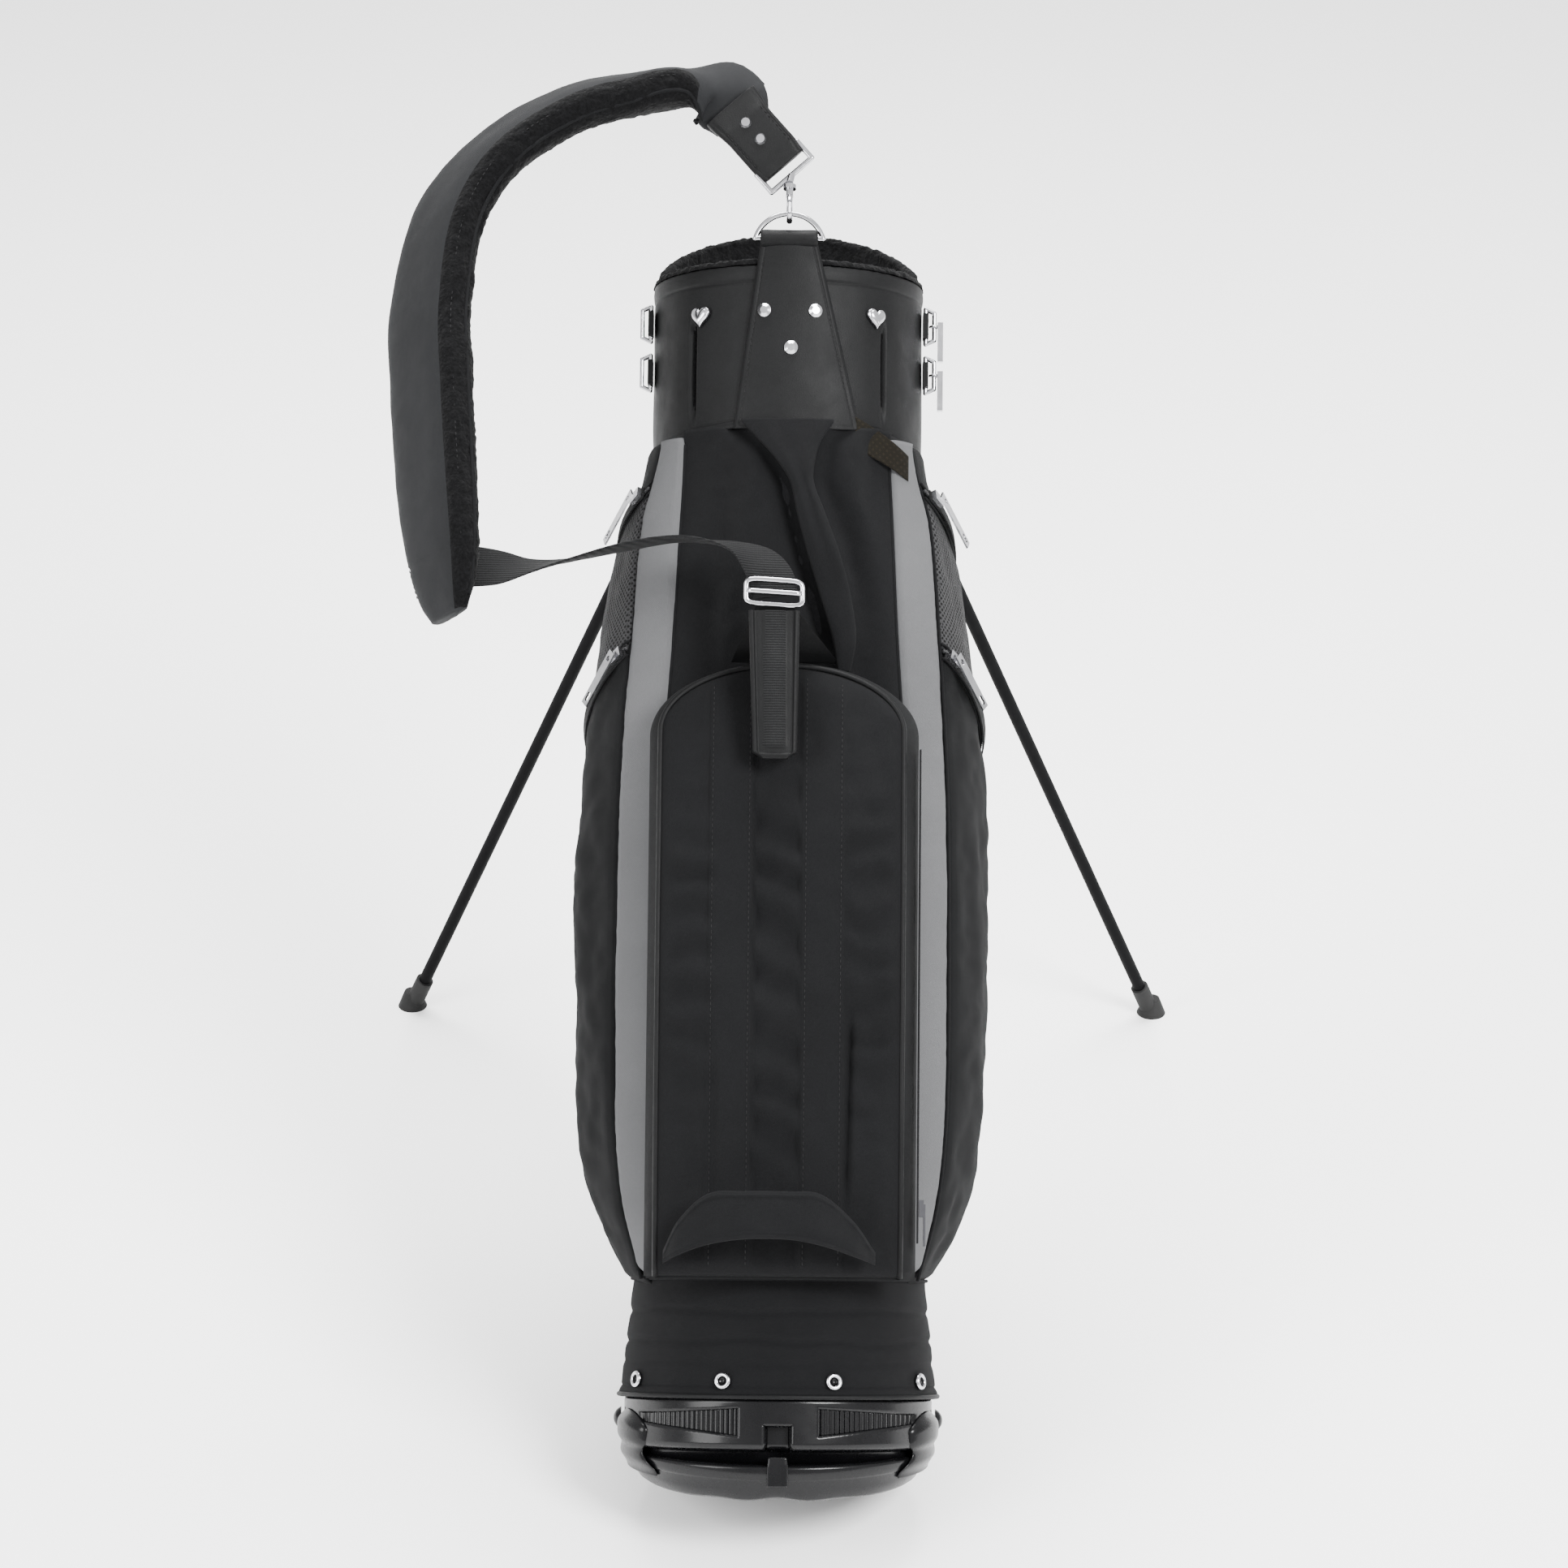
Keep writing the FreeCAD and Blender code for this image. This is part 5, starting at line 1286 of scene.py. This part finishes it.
def end_tab():
    """Leather end of the strap that holds the ring."""
    direction = Vector((0.665, 0, -0.746)).normalized()
    side = Vector((0.746, 0, 0.665)).normalized()
    ring = Vector((-4.0, strap_y(941.0), 941.0))
    near = ring - direction * 8.0

    def place(u, v):
        along = -8.0 + 62.0 * u
        c, s = way_round(v)
        half = 19.5 - 1.5 * (1 - smooth_step(0.0, 0.2, u)) + 2.5 * smooth_step(0.6, 1.0, u)
        thick = 3.2 + 1.6 * (1 - smooth_step(0.0, 0.22, u)) + 3.5 * smooth_step(0.72, 1.0, u)
        w = boxy(c, 0.3) * half
        t = boxy(s, 0.5) * thick
        groove = 0.6 * bell(half - abs(w) - 3.2, 0.6)
        return near - direction * along * 0.94 + side * w + DEPTH * (t - math.copysign(groove, s))
    obj = loop_piece("strap_end_leather", place, 60, 56)
    dress(obj, LEATHER, "strap", "black_leather", "strap_end_tab")
    for sign, label in ((-1, "low"), (1, "high")):
        line = [near - direction * d + side * (15.8 * sign) - DEPTH * 3.3
                for d in np.linspace(4, 40, 40)]
        dress(stitch_piece("end_tab_stitch_" + label, line), THREAD, "strap", "black_webbing")


# ---- handles and label --------------------------------------------------------------


def upper_handle():
    """Gathered strip from the cuff down to the ball pocket."""
    def place(u, v):
        z = GATHER_BOTTOM + (GATHER_TOP - GATHER_BOTTOM) * u
        left, width = gather_at(z)
        c, s = way_round(v)
        w = boxy(c, 0.6) * width / 2
        x = left + width / 2 + w
        thick = 2.6 + 1.6 * bell(z - 700, 34.0)
        t = boxy(s, 0.6) * thick
        pleat = (0.45 * math.sin(w / width * 2 * math.pi * 2.1 + 1.0)
                 * smooth_step(630, 690, z) * (s < 0))
        soft = 1.1 * wobble((x, 0, z * 0.35), 11.0, 3.0)
        depth = curve_value([577.0, 600.0, 660.0, 716.0, 742.0, 758.0],
                            [-106.5, -109.0, -110.0, -108.0, -103.5, -100.0], z)
        bend = 0.5 * max(x - 20.0, 0.0) ** 2 / 100.0 + 0.5 * min(x + 20.0, 0.0) ** 2 / 100.0
        return (x, depth + t + pleat + soft + bend, z)
    obj = loop_piece("gathered_handle", place, 130, 90)
    dress(obj, NYLON, "bag", "black_nylon", "upper_handle")


LOWER_HANDLE = np.array([
    # share of the way round, x, depth, height, strip height, thickness
    (0.0, -80.5, -138.0, 165.0, 9.0, 4.0), (0.10, -70.0, -150.0, 178.0, 24.0, 6.0),
    (0.24, -50.0, -161.0, 190.5, 35.0, 7.5), (0.42, -24.0, -169.0, 193.5, 33.0, 7.5),
    (0.58, 6.0, -169.0, 193.5, 33.0, 7.5), (0.76, 29.0, -164.0, 190.5, 35.0, 7.5),
    (0.90, 51.0, -153.0, 178.0, 24.0, 6.0), (1.0, 66.0, -140.0, 165.0, 9.0, 4.0)])


def lower_handle():
    def place(u, v):
        x, y, z, tall, thick = (curve_value(LOWER_HANDLE[:, 0], LOWER_HANDLE[:, k], u)
                                for k in range(1, 6))
        c, s = way_round(v)
        h = boxy(c, 0.45) * tall / 2
        t = boxy(s, 0.6) * thick / 2
        t -= 0.9 * bell(tall / 2 - abs(h) - 3.2, 0.7) * (1 if s < 0 else -1)
        sag = 1.0 * wobble((x, 0, h * 2), 22.0, 3.0)
        return (x, y + t - sag + 0.1 * h, z + h)
    obj = loop_piece("grab_handle", place, 130, 48)
    dress(obj, NYLON, "bag", "black_nylon", "lower_handle")


def woven_label():
    def place(u, v):
        turn = math.radians(28.5 + 25.5 * v)
        r = CUFF_R + 3.4 + 1.2 * math.sin(math.pi * v) + 6.2 * v
        top = 762.0 - 24.0 * v
        z = top - (23.0 - 5.0 * v) * (1 - u)
        return (r * math.sin(turn), -r * math.cos(turn), z)
    obj = sheet_piece("label_cloth", place, 16, 40, 0.7)
    dress(obj, LABEL, "bag", "olive_label", "woven_label")
    stretched(obj, 47.0, "cuff_leather")


# ---- scene --------------------------------------------------------------------------

SENSOR, LENS = 36.0, 114.8
CAMERA_AT, CAMERA_TARGET = Vector((0.0, -3600.0, 130.0)), Vector((0.0, 0.0, 508.0))
CAMERA_ROLL = -0.0095
WORLD_STRENGTH = 1.35
FLOOR_HALF = 9

def aim(obj, at, up):
    """Turns an object so that its -Z looks at a point and its +Y is as near up as it can be."""
    back = (obj.location - at).normalized()
    right = up.cross(back).normalized()
    top = back.cross(right)
    obj.rotation_euler = Matrix((right, top, back)).transposed().to_euler()


def camera():
    data = bpy.data.cameras.new("camera")
    data.sensor_width = SENSOR
    data.lens = LENS
    obj = bpy.data.objects.new("camera", data)
    bpy.context.scene.collection.objects.link(obj)
    obj.location = BAG @ CAMERA_AT
    up = BAG.to_3x3() @ Vector((CAMERA_ROLL, 0.0, 1.0))
    aim(obj, BAG @ CAMERA_TARGET, up.normalized())
    bpy.context.scene.camera = obj


def area_light(name, place, target, size, power):
    data = bpy.data.lights.new(name, "AREA")
    data.shape = "RECTANGLE"
    data.size, data.size_y = size
    data.energy = power
    obj = bpy.data.objects.new(name, data)
    bpy.context.scene.collection.objects.link(obj)
    obj.location = Vector(place)
    aim(obj, Vector(target), Vector((0, 0, 1)))


def studio():
    world = bpy.data.worlds.new("studio")
    world.use_nodes = True
    world.node_tree.nodes["Background"].inputs[0].default_value = (1.0, 1.0, 1.0, 1.0)
    world.node_tree.nodes["Background"].inputs[1].default_value = WORLD_STRENGTH
    bpy.context.scene.world = world
    area_light("key", (1.9, -1.9, 2.9), (0.0, 0.2, 0.4), (1.3, 1.3), 340.0)
    area_light("fill", (-2.4, -1.6, 1.8), (0.0, 0.2, 0.4), (1.4, 2.0), 130.0)
    area_light("top", (0.0, 1.4, 3.0), (0.0, 0.2, 0.5), (2.0, 1.2), 240.0)
    corners = [(x * FLOOR_HALF, y * FLOOR_HALF, 0) for x, y in ((-1, -1), (1, -1), (1, 1), (-1, 1))]
    floor = new_object("floor", corners, [(0, 1, 2, 3)], in_bag=False)
    m = Nodes("floor", (0.96, 0.96, 0.96), 0.9)
    m.vary_color(m.noise(900.0), 0.99, 1.01)
    floor.data.materials.append(m.mat)


camera()
studio()
body()
ball_pocket()
base_cuff()
cup_band()
tray_shell()
top_cuff()
front_tab()
shoulder_pad()
strap_webbing()
tail_loop()
tri_glide()
end_tab()
upper_handle()
lower_handle()
woven_label()
